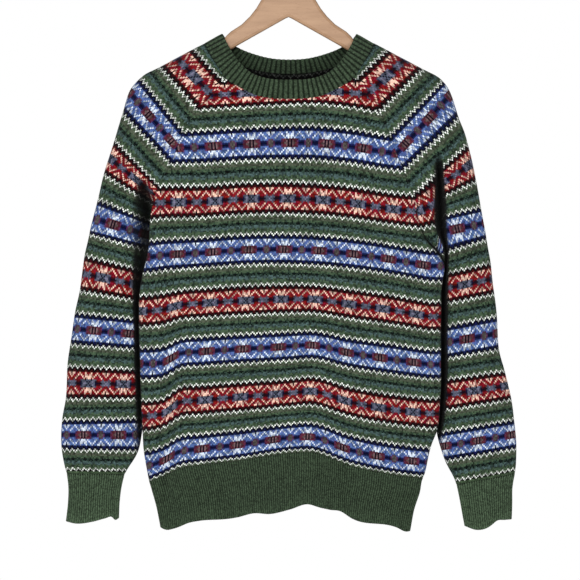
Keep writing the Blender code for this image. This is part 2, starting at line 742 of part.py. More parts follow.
def hanger(material):
    """Flat wooden hanger with rounded edges and a blind bore for the hook."""
    half = HANGER_TOP + HANGER_TIP + HANGER_LOWER
    outline = list(half) + [(-x, z) for x, z in half[-2:0:-1]]
    mesh = bmesh.new()
    near = [mesh.verts.new((x * MILLIMETRE, -HANGER_THICKNESS / 2 * MILLIMETRE, z * MILLIMETRE))
            for x, z in outline]
    face = mesh.faces.new(near)
    depth = HANGER_THICKNESS * MILLIMETRE
    moved = bmesh.ops.extrude_face_region(mesh, geom=[face])["geom"]
    verts = [item for item in moved if isinstance(item, bmesh.types.BMVert)]
    bmesh.ops.translate(mesh, vec=(0, depth, 0), verts=verts)
    body = make_object("hanger", mesh, material)
    bevel = body.modifiers.new("rounded_edges", "BEVEL")
    bevel.width = HANGER_EDGE * MILLIMETRE
    bevel.segments = 2
    bevel.limit_method = "ANGLE"
    bevel.angle_limit = math.radians(60)
    drill = bmesh.new()
    bmesh.ops.create_cone(
        drill,
        cap_ends=True,
        segments=16,
        radius1=(HOOK_WIRE / 2 + SEAM_GAP) * MILLIMETRE,
        radius2=(HOOK_WIRE / 2 + SEAM_GAP) * MILLIMETRE,
        depth=2 * HOOK_BORE_DEPTH * MILLIMETRE,
    )
    cutter = make_object("hook_bore", drill, material)
    cutter.location.z = HANGER_TOP[0][1] * MILLIMETRE
    cutter.hide_render = True
    cutter.display_type = "WIRE"
    bore = body.modifiers.new("hook_bore", "BOOLEAN")
    bore.operation = "DIFFERENCE"
    bore.solver = "EXACT"
    bore.object = cutter


def hook_path():
    """Centre line of the hook's wire, from inside the wood to its free end."""
    radius = HOOK_INNER_RADIUS + HOOK_WIRE / 2
    centre_z = -HOOK_INNER_RADIUS
    leave = HOOK_LEAVES_AT
    bend = radius * math.cos(leave) / (1 - math.cos(leave))
    shank_top = centre_z - radius * math.sin(leave) - bend * math.sin(leave)
    points = [(0.0, HANGER_TOP[0][1] - HOOK_SHANK_REACH)]
    for step in range(5):
        turn = leave * step / 5
        points.append((bend * (1 - math.cos(turn)), shank_top + bend * math.sin(turn)))
    for step in range(21):
        angle = mix(-leave, HOOK_ENDS_AT, step / 20)
        points.append((radius * math.cos(angle), centre_z + radius * math.sin(angle)))
    return points


def hook(material):
    """Steel hook, a bent wire in the plane of the hanger."""
    wire = bpy.data.curves.new("hanger_hook", "CURVE")
    wire.dimensions = "3D"
    wire.bevel_depth = HOOK_WIRE / 2 * MILLIMETRE
    wire.bevel_resolution = 2
    wire.use_fill_caps = True
    path = hook_path()
    spline = wire.splines.new("POLY")
    spline.points.add(len(path) - 1)
    for point, (x, z) in zip(spline.points, path):
        point.co = (x * MILLIMETRE, 0.0, z * MILLIMETRE, 1.0)
    wire.materials.append(material)
    part = bpy.data.objects.new("hanger_hook", wire)
    bpy.context.scene.collection.objects.link(part)


def finish(name, look):
    """A plain material of one colour, roughness and metallic value."""
    colour, roughness, metallic = look
    material = bpy.data.materials.new(name)
    material.use_nodes = True
    shader = material.node_tree.nodes["Principled BSDF"]
    shader.inputs["Base Color"].default_value = (*colour, 1.0)
    shader.inputs["Roughness"].default_value = roughness
    shader.inputs["Metallic"].default_value = metallic
    material.diffuse_color = (*colour, 1.0)
    return material


def clear_scene():
    for item in list(bpy.data.objects):
        bpy.data.objects.remove(item, do_unlink=True)


def main():
    clear_scene()
    front_edge = torso_panel("front", FRONT_COLUMNS, -1, finish("front_knit", KNIT))
    back_edge = torso_panel("back", BACK_COLUMNS, 1, finish("back_knit", KNIT))
    left_edge = sleeve("sleeve_left", -1, LEFT_CAP, LEFT_TUBE, finish("sleeve_left_knit", KNIT))
    right_edge = sleeve("sleeve_right", 1, RIGHT_CAP, RIGHT_TUBE, finish("sleeve_right_knit", KNIT))
    around = [front_edge, right_edge]
    around += [tuple(points[::-1] for points in edge) for edge in (back_edge, left_edge)]
    neckband(around, finish("neck_rib_green", GREEN_RIB))
    front_hem = torso_row(HEM_SEAM_COURSE, FRONT_COLUMNS, -1)
    back_hem = torso_row(HEM_SEAM_COURSE, BACK_COLUMNS, 1)
    hem_half("hem_rib_front", -1, 3, front_hem, finish("hem_front_green", GREEN_RIB))
    hem_half("hem_rib_back", 1, 2, back_hem, finish("hem_back_green", GREEN_RIB))
    cuff("cuff_left", LEFT_CUFF, finish("cuff_left_green", GREEN_RIB))
    cuff("cuff_right", RIGHT_CUFF, finish("cuff_right_green", GREEN_RIB))
    hanger(finish("hanger_beech", BEECH))
    hook(finish("hook_steel", STEEL))


main()
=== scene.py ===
"""Looks of the fair isle jumper on its coat hanger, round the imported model.

Frame: metres, +X to the viewer's right, the front faces -Y, +Z up, and the origin is the
inner apex of the hanger's hook. Shapes are worked out in millimetres, as the model's are.
Courses (knitted rows) are numbered from the zigzag under the neckband at the centre front.
"""

import math
from collections import namedtuple

import bmesh
import bpy
import numpy as np
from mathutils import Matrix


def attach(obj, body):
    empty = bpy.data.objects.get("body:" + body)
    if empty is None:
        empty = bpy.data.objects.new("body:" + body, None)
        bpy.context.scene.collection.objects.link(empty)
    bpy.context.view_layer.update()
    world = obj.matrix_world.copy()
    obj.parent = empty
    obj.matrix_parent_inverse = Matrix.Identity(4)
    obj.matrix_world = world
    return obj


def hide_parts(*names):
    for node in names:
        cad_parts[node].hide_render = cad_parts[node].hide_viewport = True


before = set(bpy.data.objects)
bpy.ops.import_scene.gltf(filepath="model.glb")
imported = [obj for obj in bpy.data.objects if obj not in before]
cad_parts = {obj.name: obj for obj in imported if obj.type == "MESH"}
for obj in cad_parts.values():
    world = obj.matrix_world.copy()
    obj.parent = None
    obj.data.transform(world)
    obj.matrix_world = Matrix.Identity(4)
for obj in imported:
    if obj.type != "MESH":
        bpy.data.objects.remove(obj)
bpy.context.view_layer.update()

MILLIMETRE = 0.001

# Cloth, in millimetres: its wall, the gap at its seams, how much higher the back hem is, the
# height of a row, and how round the sleeves' edges are
CLOTH_WALL = 2.0
SEAM_GAP = 0.1
BACK_HEM_LIFT = 8.0
COURSE_HEIGHT = 2.35
SLEEVE_NOSE = 18.0

# Courses at which the cloth starts, changes its form or ends, and how many rows sooner the
# back's pattern starts
NECK_COURSE = -20.0
FIRST_COURSE = -17.0
NECK_BLEND_COURSE = 24.0
ROUNDING_COURSE = 30.0
STEP_COURSE = 48.0
UNDERARM_COURSE = 84.0
HEM_SEAM_COURSE = 241.0
HEM_COURSE = 290.0
BACK_NECK_EARLY = 1.2

# Sections of the body: how square their ends are, how much their points gather there, and
# the share of their width at each end that the folds leave calm
PROFILE_POWER = 2.4
GATHERING = 0.8
CALM_EDGE = 0.06

# Ribs: how many there are, the wall behind them and how far they stand out in millimetres,
# the columns of stitches in each, and the mesh's points across each and rows down them
Rib = namedtuple("Rib", "count wall relief wales points rows")
HEM_RIB = Rib(124, 1.8, 1.0, 2, 8, 22)
CUFF_RIB = Rib(52, 1.8, 1.0, 2, 8, 20)
NECK_RIB = Rib(80, 2.4, 1.3, 4, 10, 16)
NECK_COURSES = (0, 18)
RIB_SHARPNESS = 1.6
INSIDE_RELIEF = 0.35
EDGE_FLATTENING = 0.55
FLATTER_FROM = 0.75

# How round an edge is, nearly flat at a seam and a half round where it is free, and the
# rows of points that round it
SEAM_REACH = 0.2
FREE_REACH = 1.0
EDGE_ROWS = 3

# Mesh density
BODY_COLUMNS = 150
BODY_ROWS = 150
SLEEVE_COLUMNS = 160
CAP_ROWS = 60
TUBE_ROWS = 80
NECK_ROWS = 4
FINE = 2400


def table(kind, *rows):
    """A table: rows of one kind, with its named columns."""
    return tuple(kind(*row) for row in rows)


# Height of each course at the centre front
Course = namedtuple("Course", "course height")
CENTRE_FRONT = table(
    Course,
    (-30, -190.5),
    (-20, -211.0),
    (-10, -231.5),
    (-5, -241.8),
    (0, -251.7),
    (14, -281.1),
    (34, -331.3),
    (48, -362.6),
    (68, -410.3),
    (82, -438.0),
    (102, -483.1),
    (116, -510.9),
    (136, -553.7),
    (150, -579.4),
    (170, -622.0),
    (184, -647.5),
    (204, -688.8),
    (218, -712.9),
    (238, -752.2),
    (241, -756.5),
    (290, -838.0),
)

# How far a course hangs below its centre height, at each distance across the front
SAG_AT = (-201, -182, -157, -128, -70, 5, 31, 89, 147, 205)
Sag = namedtuple("Sag", "course drops")
FRONT_SAG = table(
    Sag,
    (-20, (10, 9, 8, 6, 3, 0, 0, 0, 4, 10)),
    (0, (13, 12, 10, 7.5, 4, 0, -1, 4, 14, 18)),
    (48, (6, 5, 5, 5, 1, 0, 1, 6, 15, 20)),
    (102, (12, 9, 7, 5, 1, 0, 1, 6, 14, 25)),
    (150, (23, 21, 10.5, 7.5, 4, 0, -1, 9, 17, 26)),
    (184, (32, 29, 12, 9.5, 5, 0, -3, 12, 22, 28.5)),
    (238, (43, 35, 22, 18, 11, 0, -1, 19, 31.5, 39)),
    (290, (24, 27, 26, 16, 9, 0, -6, 11, 23, 33)),
)

# Raglan seams: across and through the garment, by the body's course
Seam = namedtuple("Seam", "course left_x left_y right_x right_y")
FRONT_SEAM = table(
    Seam,
    (-20, -91.5, -24, 94.5, -24),
    (-10, -110.5, -27, 112.0, -27),
    (0, -131.2, -30, 131.2, -30),
    (14, -151.0, -31, 145.7, -31),
    (34, -170.5, -29, 166.0, -30),
    (48, -188.0, -25, 180.0, -28),
    (62, -198.5, -18, 188.0, -23),
    (70, -202.0, -12, 193.0, -17),
    (77, -203.0, -5.5, 202.0, -9),
    (84, -203.5, 0, 217.0, 0),
)
BackSeam = namedtuple("BackSeam", "course half_x y height")
BACK_SEAM = table(
    BackSeam,
    (-20, 91.5, 23, -185.5),
    (-10, 111, 27, -209),
    (0, 131, 31, -244),
    (14, 147, 31.5, -272),
    (34, 166, 30, -327),
    (48, 182, 26, -362),
    (62, 193, 18, -396),
    (70, 198, 12, -417),
    (77, 201, 5.5, -433),
    (84, 203.5, 0, -451),
)

# Side seams and depth of the torso below the underarms
Side = namedtuple("Side", "course left_x right_x front_depth back_depth")
TORSO_SIDES = table(
    Side,
    (-20, -92.5, 95.5, 31, 33),
    (34, -169, 166, 32, 33),
    (84, -203.5, 217, 31, 31),
    (92, -205.9, 226.5, 31, 31),
    (100, -210.7, 225, 31, 31),
    (109, -214.9, 222.5, 30.5, 31),
    (118, -217.3, 222, 30, 31),
    (136, -217.3, 221.5, 30, 30),
    (150, -216.5, 222, 30, 30),
    (170, -215.3, 222, 29, 30),
    (184, -214.5, 221, 29, 29),
    (204, -212.5, 217, 28, 28),
    (218, -210.5, 207, 27, 27),
    (238, -203, 197, 25, 26),
    (241, -202, 195, 25, 25),
    (256, -197, 190.5, 24, 24),
    (273, -190.7, 182, 23, 23),
    (290, -186, 177, 22, 22),
)

# Neck ring, half of it, from the centre front to the centre back
NECK_CENTRE = 1.5
Neck = namedtuple("Neck", "seam_x seam_y seam_z top_x top_y top_z")
NECK_HALF = table(
    Neck,
    (0, -31, -243.8, 0, -25, -216.6),
    (24, -31, -242.8, 21, -25, -216.2),
    (48, -30, -238.6, 40, -24.5, -212.8),
    (72, -28, -227.0, 58, -22.5, -205.0),
    (93, -24, -213.0, 73.5, -19.5, -190.6),
    (109.5, -20.5, -187.5, 86, -18.5, -173.0),
    (122.5, 0, -162.5, 98.5, 0, -149.0),
    (112, 17, -172.5, 91, 15, -158.0),
    (90, 23, -185.5, 73, 15, -169.5),
    (59, 29.5, -196.5, 49, 18, -178.5),
    (29, 32, -202.3, 25, 19, -184.0),
    (0, 33, -204.0, 0, 19, -185.5),
)
NECK_TURN = 2 * (len(NECK_HALF) - 1)
FRONT_RAGLAN_TURN = 4
RIDGE_TURN = 6
BACK_RAGLAN_TURN = 8

# Sleeve caps, from the neck to the underarm: the ridge over the shoulder, by the body's
# course at the raglan seam, with the sleeve's own course at the ridge and at the seam
Cap = namedtuple("Cap", "seam_course course edge_course outer_x outer_z")
LEFT_CAP = table(
    Cap,
    (-20, -27.5, -20, -121, -162.5),
    (-14.5, -20, -14.5, -136, -169.5),
    (0, 0, 0, -187, -196.5),
    (14, 14, 14, -213.5, -211.5),
    (24, 24, 24, -231, -231),
    (34, 34, 34, -241, -264),
    (48, 48, 48, -252.5, -301),
    (59, 68, 68, -268.3, -352.3),
    (68, 82, 82, -276.8, -386.7),
    (84, 97, 97, -287.5, -430),
)
RIGHT_CAP = table(
    Cap,
    (-20, -27.5, -20, 124, -162.5),
    (-14.5, -20, -14.5, 141, -171),
    (0, 0, 0, 195, -199.5),
    (14, 14, 14, 223, -216),
    (24, 24, 24, 235.5, -234),
    (34, 34, 34, 248, -271),
    (48, 48, 48, 260, -306.6),
    (57, 68, 57, 273, -362.5),
    (64, 82, 64, 279.1, -397.3),
    (84, 101, 84, 287.5, -445),
)

# How far out the sleeves dive behind the body in front of the armpits, where the rows of
# the shoulder and those of the arm meet
LEFT_PIT = 207.0
RIGHT_PIT = 219.0
PIT_HALF_WIDTH = 6.0

# Sleeve tubes and cuffs: both ends of each flattened ring, half its depth, and how far
# its middle hangs behind the torso's side seam
Ring = namedtuple("Ring", "course outer_x outer_z inner_x inner_z depth behind")
LEFT_TUBE = table(
    Ring,
    (97, -287.5, -430, -204, -451, 18, 0),
    (106, -291.3, -447.5, -205.5, -471, 18, 5.5),
    (116, -296.2, -468.3, -208.2, -491, 17.5, 10.5),
    (126, -300, -495, -210.7, -514, 17, 13),
    (136, -303.8, -522, -212.5, -537, 17, 13.5),
    (150, -310, -551.5, -212.5, -562, 17, 13.5),
    (170, -317.4, -599.5, -211.8, -607.5, 17, 13.5),
    (184, -321.2, -629.3, -211.3, -635, 17, 13.5),
    (204, -324.2, -678.6, -210.8, -678.6, 17, 13.5),
    (218, -329, -707.6, -211, -705, 16.5, 13),
    (238, -330, -752, -218.5, -754.5, 15.5, 11),
    (252, -325, -779.6, -234, -781, 14.5, 9),
    (256, -322.6, -787, -238, -788, 14, 9),
)
RIGHT_TUBE = table(
    Ring,
    (101, 287.5, -445, 217.5, -466, 20, 0),
    (108, 290.3, -461, 223.5, -481, 19.5, 8.5),
    (116, 293.6, -479.3, 222.8, -496.6, 19, 12),
    (126, 296.5, -503, 219, -519, 18.5, 13),
    (136, 299.4, -526.3, 218, -542, 18, 13.5),
    (150, 303.3, -556.8, 217.5, -573, 18, 14),
    (170, 306.7, -606.9, 217.5, -622, 18, 14),
    (184, 313.9, -636.5, 217.5, -650, 18, 14),
    (204, 324.1, -679.7, 215.5, -697, 17.5, 13.5),
    (218, 328, -707, 215.5, -726, 17, 12.5),
    (238, 331.3, -751, 228, -768.5, 16.5, 10.5),
    (252, 330.6, -779.6, 241.5, -796, 15.5, 9),
    (256, 329.5, -787, 244, -803, 15, 9),
)
LEFT_CUFF = table(
    Ring,
    (256, -322, -787.3, -238.8, -788.3, 13.5, 9),
    (266, -319.8, -806, -243, -806, 13, 8.5),
    (280, -320.5, -832, -246, -831, 13, 8),
    (294, -323.5, -856, -246.5, -853, 14, 8),
)
RIGHT_CUFF = table(
    Ring,
    (256, 328.8, -787.3, 244.8, -803.3, 14.5, 9),
    (266, 325.5, -806, 248.5, -821, 14, 8.5),
    (280, 325, -830, 252.5, -843, 14, 8),
    (294, 324.5, -853, 256, -863, 15, 8),
)

# How far a ribbed edge waves below its even line. Across the hem this goes by the distance
# from the middle, and round a cuff by the share of the way from its outer end inwards.
Droop = namedtuple("Droop", "across drop")
HEM_START_DROOP = 258.0
HEM_DROOP = table(
    Droop,
    (-189, -1),
    (-178, 2.5),
    (-166, 0.5),
    (-148, -3),
    (-129, 0),
    (-90, 3),
    (-73, 1.5),
    (-50, -1.7),
    (-27, 1.6),
    (0, -0.8),
    (24, -2.8),
    (46, 1.5),
    (60, 0),
    (76, -4),
    (92, 1.4),
    (158, 1.5),
    (170, 5),
    (182, 2),
)
CUFF_START_DROOP = 268.0
LEFT_CUFF_DROOP = table(
    Droop,
    (0, 0),
    (0.18, 3.3),
    (0.5, 1.7),
    (0.75, -2.6),
    (0.87, -4.2),
    (0.94, 0.5),
    (1, -1.5),
)
RIGHT_CUFF_DROOP = table(
    Droop,
    (0, 0),
    (0.15, -1),
    (0.32, -1.5),
    (0.42, 3),
    (0.5, 6),
    (0.75, 7.5),
    (1, 0),
)

# Folds: a line down the cloth, its width, and how far it goes in (a trough) or, where
# negative, stands out (a ridge). They rise and fall over shares of the line's length.
Fold = namedtuple("Fold", "top_x top_z bottom_x bottom_z width depth")
FOLD_RISE = (-0.25, 0.35)
FOLD_FALL = (1.0, 1.3)
FRONT_FOLDS = table(
    Fold,
    (-166, -590, -180, -800, 13, 8),
    (-140, -600, -150, -800, 18, -3),
    (34, -600, 20, -850, 28, -6),
    (78, -690, 84, -850, 18, 5),
    (-95, -770, -92, -850, 16, 3),
    (-60, -780, -58, -850, 16, -3),
    (180, -480, 196, -700, 16, 4),
    (-185, -330, -178, -460, 12, 3),
)
BACK_FOLDS = table(
    Fold,
    (-150, -560, -168, -800, 15, 6),
    (-40, -620, -30, -850, 28, -6),
    (60, -560, 92, -800, 22, 5),
    (160, -620, 170, -850, 18, 5),
    (0, -260, 10, -420, 40, -4),
)
SLEEVE_BACK_FOLDS = table(
    Fold,
    (212, -362, 222, -480, 9, 10),
    (-214, -362, -208, -490, 9, 10),
    (276, -640, 262, -760, 14, 5),
    (-272, -600, -262, -760, 14, 5),
)

# The deep fold in front of each armpit, by how far down it is: where it runs, half its
# width, and how far in it goes, which also sets how dark the painted shade along it is
Groove = namedtuple("Groove", "drop x width depth")
LEFT_GROOVE = table(
    Groove,
    (355, -216, 5, 0),
    (372, -211, 8, 16),
    (392, -209, 11, 26),
    (430, -208.5, 13, 30),
    (462, -209, 13, 30),
    (484, -211.5, 11, 28),
    (499, -214.5, 9, 24),
    (531, -218.5, 5, 16),
    (578, -219, 4, 11),
    (690, -216, 3.5, 8),
    (723, -215, 3.5, 4),
    (745, -215, 3, 0),
)
RIGHT_GROOVE = table(
    Groove,
    (322, 217.5, 5, 0),
    (346, 218.3, 5, 18),
    (386, 219.4, 6.2, 28),
    (416, 220.3, 7, 28),
    (439, 223, 5.5, 26),
    (452, 227, 3.5, 22),
    (464, 229, 2.5, 18),
    (488, 228.5, 2.5, 16),
    (504, 226.5, 3.5, 16),
    (520, 225, 4.5, 16),
    (578, 225, 4.5, 13),
    (723, 218, 4, 10),
    (745, 215, 3, 0),
)

# Unevenness of hung knitting, in millimetres, and its two sets of crossing waves: the share
# of each, and the millimetres a radian that its waves take each way
UNEVENNESS = 0.35
Ripple = namedtuple("Ripple", "x y z phase")
RIPPLES = (
    (1.0, Ripple(17, 9, 41, 0), Ripple(-57, math.inf, 23, 1.3)),
    (0.6, Ripple(9.1, math.inf, -31, 0.7), Ripple(71, math.inf, 13, 0)),
)

# Column 0 of the pattern across the body, and the width of a stitch to its left and right
Wale = namedtuple("Wale", "course centre left right")
BODY_WALES = table(
    Wale,
    (-20, 3, 2.66, 2.62),
    (0, 3, 2.6, 2.56),
    (14, 2.5, 2.39, 2.32),
    (34, 1.5, 2.26, 2.17),
    (48, 0, 2.21, 2.14),
    (68, -2, 2.19, 2.11),
    (102, -7.5, 2.14, 2.09),
    (136, -11.5, 2.15, 2.03),
    (170, -15.5, 2.17, 2.05),
    (204, -19.5, 2.13, 2.08),
    (238, -24, 2.14, 2.1),
)
SLEEVE_STITCH = 2.13

# The stitch at the top of each sleeve's outer fold, and its change a course
Crown = namedtuple("Crown", "stitch drift")
LEFT_CROWN = Crown(6.5, 0.0)
RIGHT_CROWN = Crown(-21.6, -0.055)

# Each piece of cloth: the node it stands for, its slot, its flat size (across, down, and the
# area, as none is a rectangle), and what it hangs from
Piece = namedtuple("Piece", "name node slot width length area hangs_from")
PIECE_ROWS = table(
    Piece,
    ("front_knitting", "front", "fair_isle_knit", 0.464, 0.6, 0.219, "neckband"),
    ("back_knitting", "back", "fair_isle_knit", 0.46, 0.61, 0.229, "neckband"),
    ("left_sleeve_knitting", "sleeve_left", "fair_isle_knit", 0.256, 0.705, 0.137, "hanger"),
    ("right_sleeve_knitting", "sleeve_right", "fair_isle_knit", 0.25, 0.705, 0.136, "hanger"),
    ("neckband", "neck_rib", "green_rib", 0.62, 0.03, 0.016, "hanger"),
    ("front_hem_rib", "hem_rib_front", "green_rib", 0.426, 0.083, 0.033, "front_knitting"),
    ("back_hem_rib", "hem_rib_back", "green_rib", 0.422, 0.075, 0.0315, "back_knitting"),
    ("left_cuff_rib", "cuff_left", "green_rib", 0.185, 0.069, 0.012, "left_sleeve_knitting"),
    ("right_cuff_rib", "cuff_right", "green_rib", 0.191, 0.066, 0.0115, "right_sleeve_knitting"),
)
PIECES = {piece.name: piece for piece in PIECE_ROWS}

# The stitch chart. A band has 23 rows, of which the first 12 are listed (it mirrors about
# the last), and each row has the stitches from one axis of symmetry to the next, 12 on.
BAND_ROWS = 23
PLAIN_ROWS = 11
REPEAT_ROWS = BAND_ROWS + PLAIN_ROWS
HALF_REPEAT = 12
BAND_START = 12.5
LAST_CHART_ROW = 253
OUTER_ROWS = (
    "ggwgggwgggwgg",
    "gwnwgwnwgwnwg",
    "wnnnwnnnwnnnw",
    "nndnnndnnndnn",
    "ndddndddndddn",
    "ffpfffpfffppn",
    "fppffpfpfffpf",
    "pppfpfffpfffp",
    "ppfpfffffpfff",
)
RED_CENTRE = ("sskslsffffsff", "skslsvdddssls", "ksllsvkkkkssl")
BLUE_CENTRE = ("bkbbbmfffffmo", "tktbbmddddmoo", "tktobbvvvvmoo")
PLAIN_CHART = (
    "ooooo",
    "ooooo",
    "ggggg",
    "dgggd",
    "kkddk",
    "kddkd",
    "ttdtt",
    "ttttt",
    "ttggt",
    "ggggg",
    "ggggg",
)
PLAIN_HALF = 4

# Yarn colours, and the painted shade between the ribs, as 0 to 255 screen values
RED_YARNS = {
    "g": (72, 92, 66),
    "w": (250, 255, 248),
    "n": (6, 4, 6),
    "d": (66, 6, 14),
    "f": (136, 16, 28),
    "p": (255, 210, 190),
    "s": (86, 94, 114),
    "k": (14, 2, 26),
    "l": (120, 118, 142),
    "v": (12, 12, 52),
}
BLUE_YARNS = {
    "g": (72, 92, 66),
    "w": (250, 255, 248),
    "n": (3, 6, 26),
    "d": (20, 30, 80),
    "f": (86, 112, 174),
    "p": (226, 238, 255),
    "b": (96, 40, 54),
    "k": (20, 4, 24),
    "t": (120, 94, 98),
    "m": (86, 44, 84),
    "v": (2, 4, 42),
    "o": (88, 82, 80),
}
PLAIN_YARNS = {
    "o": (82, 90, 74),
    "g": (70, 90, 68),
    "d": (46, 66, 56),
    "k": (0, 8, 8),
    "t": (74, 96, 94),
}
RIB_GREEN = (74, 92, 70)
# Painted shade: the dark green that the ribs' colour falls to in the hollows between them
RIB_PAINTED_SHADE_COLOUR = (26, 36, 24)
BEECH_LIGHT = (190, 152, 119)
BEECH_DARK = (168, 130, 98)

FLECK_COLOUR = (150, 104, 76)
STEEL_DARK = (176, 176, 178)
STEEL_LIGHT = (206, 206, 208)
# The floats on the reverse, kept dark as painted shade of the jumper's inside
FLOAT_PAINTED_SHADE_DARK = (8, 12, 10)
FLOAT_PAINTED_SHADE_PALE = (52, 58, 56)

# How far the hue and the tone of single stitches stray, the tone more between the bands,
# and the slow mottling over them
HUE_SPREAD = 0.022
TONE_SPREAD = 1.1
PLAIN_TONE_SPREAD = 1.5
MOTTLE = 0.3
MOTTLE_SCALE = 0.09

# How far a stitch's legs lean, how much its strands round it, and the painted shade of its
# hollows: the tone its relief adds to the tone at their bottom, in the patterned cloth and in the ribs
STITCH_LEAN = 0.3
STRAND_SHARE = 0.6
KNIT_PAINTED_HOLLOW_TONES = (0.5, 0.62)
RIB_PAINTED_HOLLOW_TONES = (0.45, 0.68)

# Brushed wool: its fibres across and down a stitch, its roughness, how much they add to the
# relief of the knitting and the ribs, how deep that relief is in metres, and its edge light
FIBRE_SCALE = (3.0, 5.0, 1.0)
WOOL_ROUGHNESS = (0.15, 0.8)
KNIT_FUZZ = 0.25
RIB_FUZZ = 0.3
KNIT_BUMP = 0.0005
RIB_BUMP = 0.0004
WOOL_SHEEN = {"Sheen Weight": 0.04, "Sheen Roughness": 0.5, "Specular IOR Level": 0.08}

# Green rib: its columns of stitches a rib, its brightness, which on the cuffs is partly painted light,
# and how strongly painted shade darkens the hollows between its ribs
RibLook = namedtuple("RibLook", "name wales brightness contrast")
HEM_LOOK = RibLook("green_rib", 2, 0.94, 0.4)
# The cuffs are of the same yarn as the hem: their extra brightness is painted light
CUFF_LOOK = RibLook("green_rib_cuffs", 2, 1.32, 0.35)
NECK_LOOK = RibLook("green_rib_wide", 4, 0.95, 0.75)

# How much a pattern of grain, flecks or wire marks repeats a metre, each way
BEECH_GRAIN = (14.0, 120.0, 120.0)
BEECH_FLECKS = (120.0, 900.0, 900.0)
WIRE_MARKS = (700.0, 700.0, 90.0)

# Painted shadow of folds and hollows, put into the colour: how far round it gathers, in metres,
# outside and inside the jumper, how dark its bottom gets, and the shares of open sky between which it
# falls
FOLD_REACH = 0.03
INSIDE_REACH = 0.15
FOLD_SHADE = 0.02
OPEN_SKY = (0.4, 0.9)

# Painted shade along the armpit grooves: how deep a groove is, in millimetres, where its
# painted shade is at its darkest, and the share of the colour that the painted shade takes away there
GROOVE_PAINTED_BLACK_DEPTH = 16.0
GROOVE_PAINTED_SHADE = 0.96

# How squarely a groove's sides end, and how soon cloth counts as facing front or back
GROOVE_POWER = 3
FACING_GAIN = 1.6

# Share of the room inside a sleeve that its front may take when it is pushed in, what is
# kept free of it, and the least that counts, in millimetres
FRONT_ROOM = 0.75
LINING_GAP = 1.0
LEAST_ROOM = 0.1

# The photograph: its side in pixels, the millimetres of one pixel at the cloth, and the
# pixel column over the origin
PHOTO_SIDE = 580
PIXEL = 1.45
ORIGIN_COLUMN = 288.5
TOP_HEIGHT = -100.0
CAMERA_DISTANCE = 9.0
CAMERA_FOCUS_Y = -0.018
SENSOR = 36.0
AMBIENT = 0.34

# The floor, in metres and as linear colours, and the lamps, in metres and watts
FLOOR_HALF = 5.0
FLOOR_HEIGHT = -1.8
PAPER_DULL = (0.86, 0.86, 0.85, 1)
PAPER_WHITE = (0.9, 0.9, 0.9, 1)
Lamp = namedtuple("Lamp", "name place size power")
LAMPS = table(
    Lamp,
    ("key", (-0.9, -2.6, 0.2), 1.6, 43.5),
    ("fill", (1.3, -2.6, -0.6), 1.6, 22.0),
)


def smooth(knots, values, at):
    """Values at the given places of a smooth curve through the knots."""
    knots = np.asarray(knots, float)
    values = np.asarray(values, float)
    at = np.clip(np.asarray(at, float), knots[0], knots[-1])
    slopes = np.gradient(values, knots, axis=0)
    left = np.clip(np.searchsorted(knots, at) - 1, 0, len(knots) - 2)
    span = knots[left + 1] - knots[left]
    t = (at - knots[left]) / span
    if values.ndim > 1:
        t = t[..., None]
        span = span[..., None]
    ahead = t * t * (3 - 2 * t)
    rise = values[left] * (1 - ahead) + values[left + 1] * ahead
    lean = slopes[left] * t * (1 - t) ** 2 - slopes[left + 1] * t * t * (1 - t)
    return rise + lean * span


def column(rows, name):
    return [getattr(row, name) for row in rows]


def look_up(rows, at):
    """A table's row at the given places: its columns are smooth functions of the first."""
    kind = type(rows[0])
    knots = column(rows, kind._fields[0])
    return kind(at, *(smooth(knots, column(rows, name), at) for name in kind._fields[1:]))


def ease(value, start, end):
    """0 before start, 1 after end, and smooth between them."""
    t = np.clip((np.asarray(value, float) - start) / (end - start), 0, 1)
    return t * t * (3 - 2 * t)


def mix(a, b, share):
    return a + (b - a) * share


def front_height(x, course):
    """Height of a course of the front, at a distance across it."""
    x, course = np.broadcast_arrays(np.asarray(x, float), np.asarray(course, float))
    drops = np.stack([smooth(SAG_AT, row.drops, x) for row in FRONT_SAG])
    knots = np.array(column(FRONT_SAG, "course"), float)
    at = np.clip(course, knots[0], knots[-1])
    below = np.clip(np.searchsorted(knots, at) - 1, 0, len(knots) - 2)
    share = (at - knots[below]) / (knots[below + 1] - knots[below])
    upper = np.take_along_axis(drops, below[None], 0)[0]
    lower = np.take_along_axis(drops, below[None] + 1, 0)[0]
    return look_up(CENTRE_FRONT, course).height - mix(upper, lower, share)


def neck_ring(turn, edge):
    """Points on the neckband's "seam" or "top" edge.

    turn counts the rows of NECK_HALF: 0 at the centre front, rising to the right.
    """
    count = len(NECK_HALF)
    picks = list(range(count)) + list(range(count - 2, 0, -1))
    points = []
    for place, pick in enumerate(picks):
        row = NECK_HALF[pick]
        side = 1 if place < count else -1
        x, y, z = (getattr(row, f"{edge}_{axis}") for axis in "xyz")
        points.append((NECK_CENTRE + side * x, y, z))
    ring = np.array(points * 3)
    knots = np.arange(len(ring)) - NECK_TURN
    return smooth(knots, ring, np.mod(turn, NECK_TURN))


def underarm(side):
    """The underarm point, where both raglan seams and both side seams meet."""
    x = FRONT_SEAM[-1].left_x if side < 0 else FRONT_SEAM[-1].right_x
    return np.array([x, 0.0, float(front_height(x, UNDERARM_COURSE))])


def front_seam(course, side):
    """Point on the front raglan seam, side -1 for the left one."""
    if course <= NECK_COURSE:
        return neck_ring(side * FRONT_RAGLAN_TURN, "seam")
    row = look_up(FRONT_SEAM, course)
    x, y = (row.left_x, row.left_y) if side < 0 else (row.right_x, row.right_y)
    return np.array([float(x), float(y), float(front_height(x, course))])


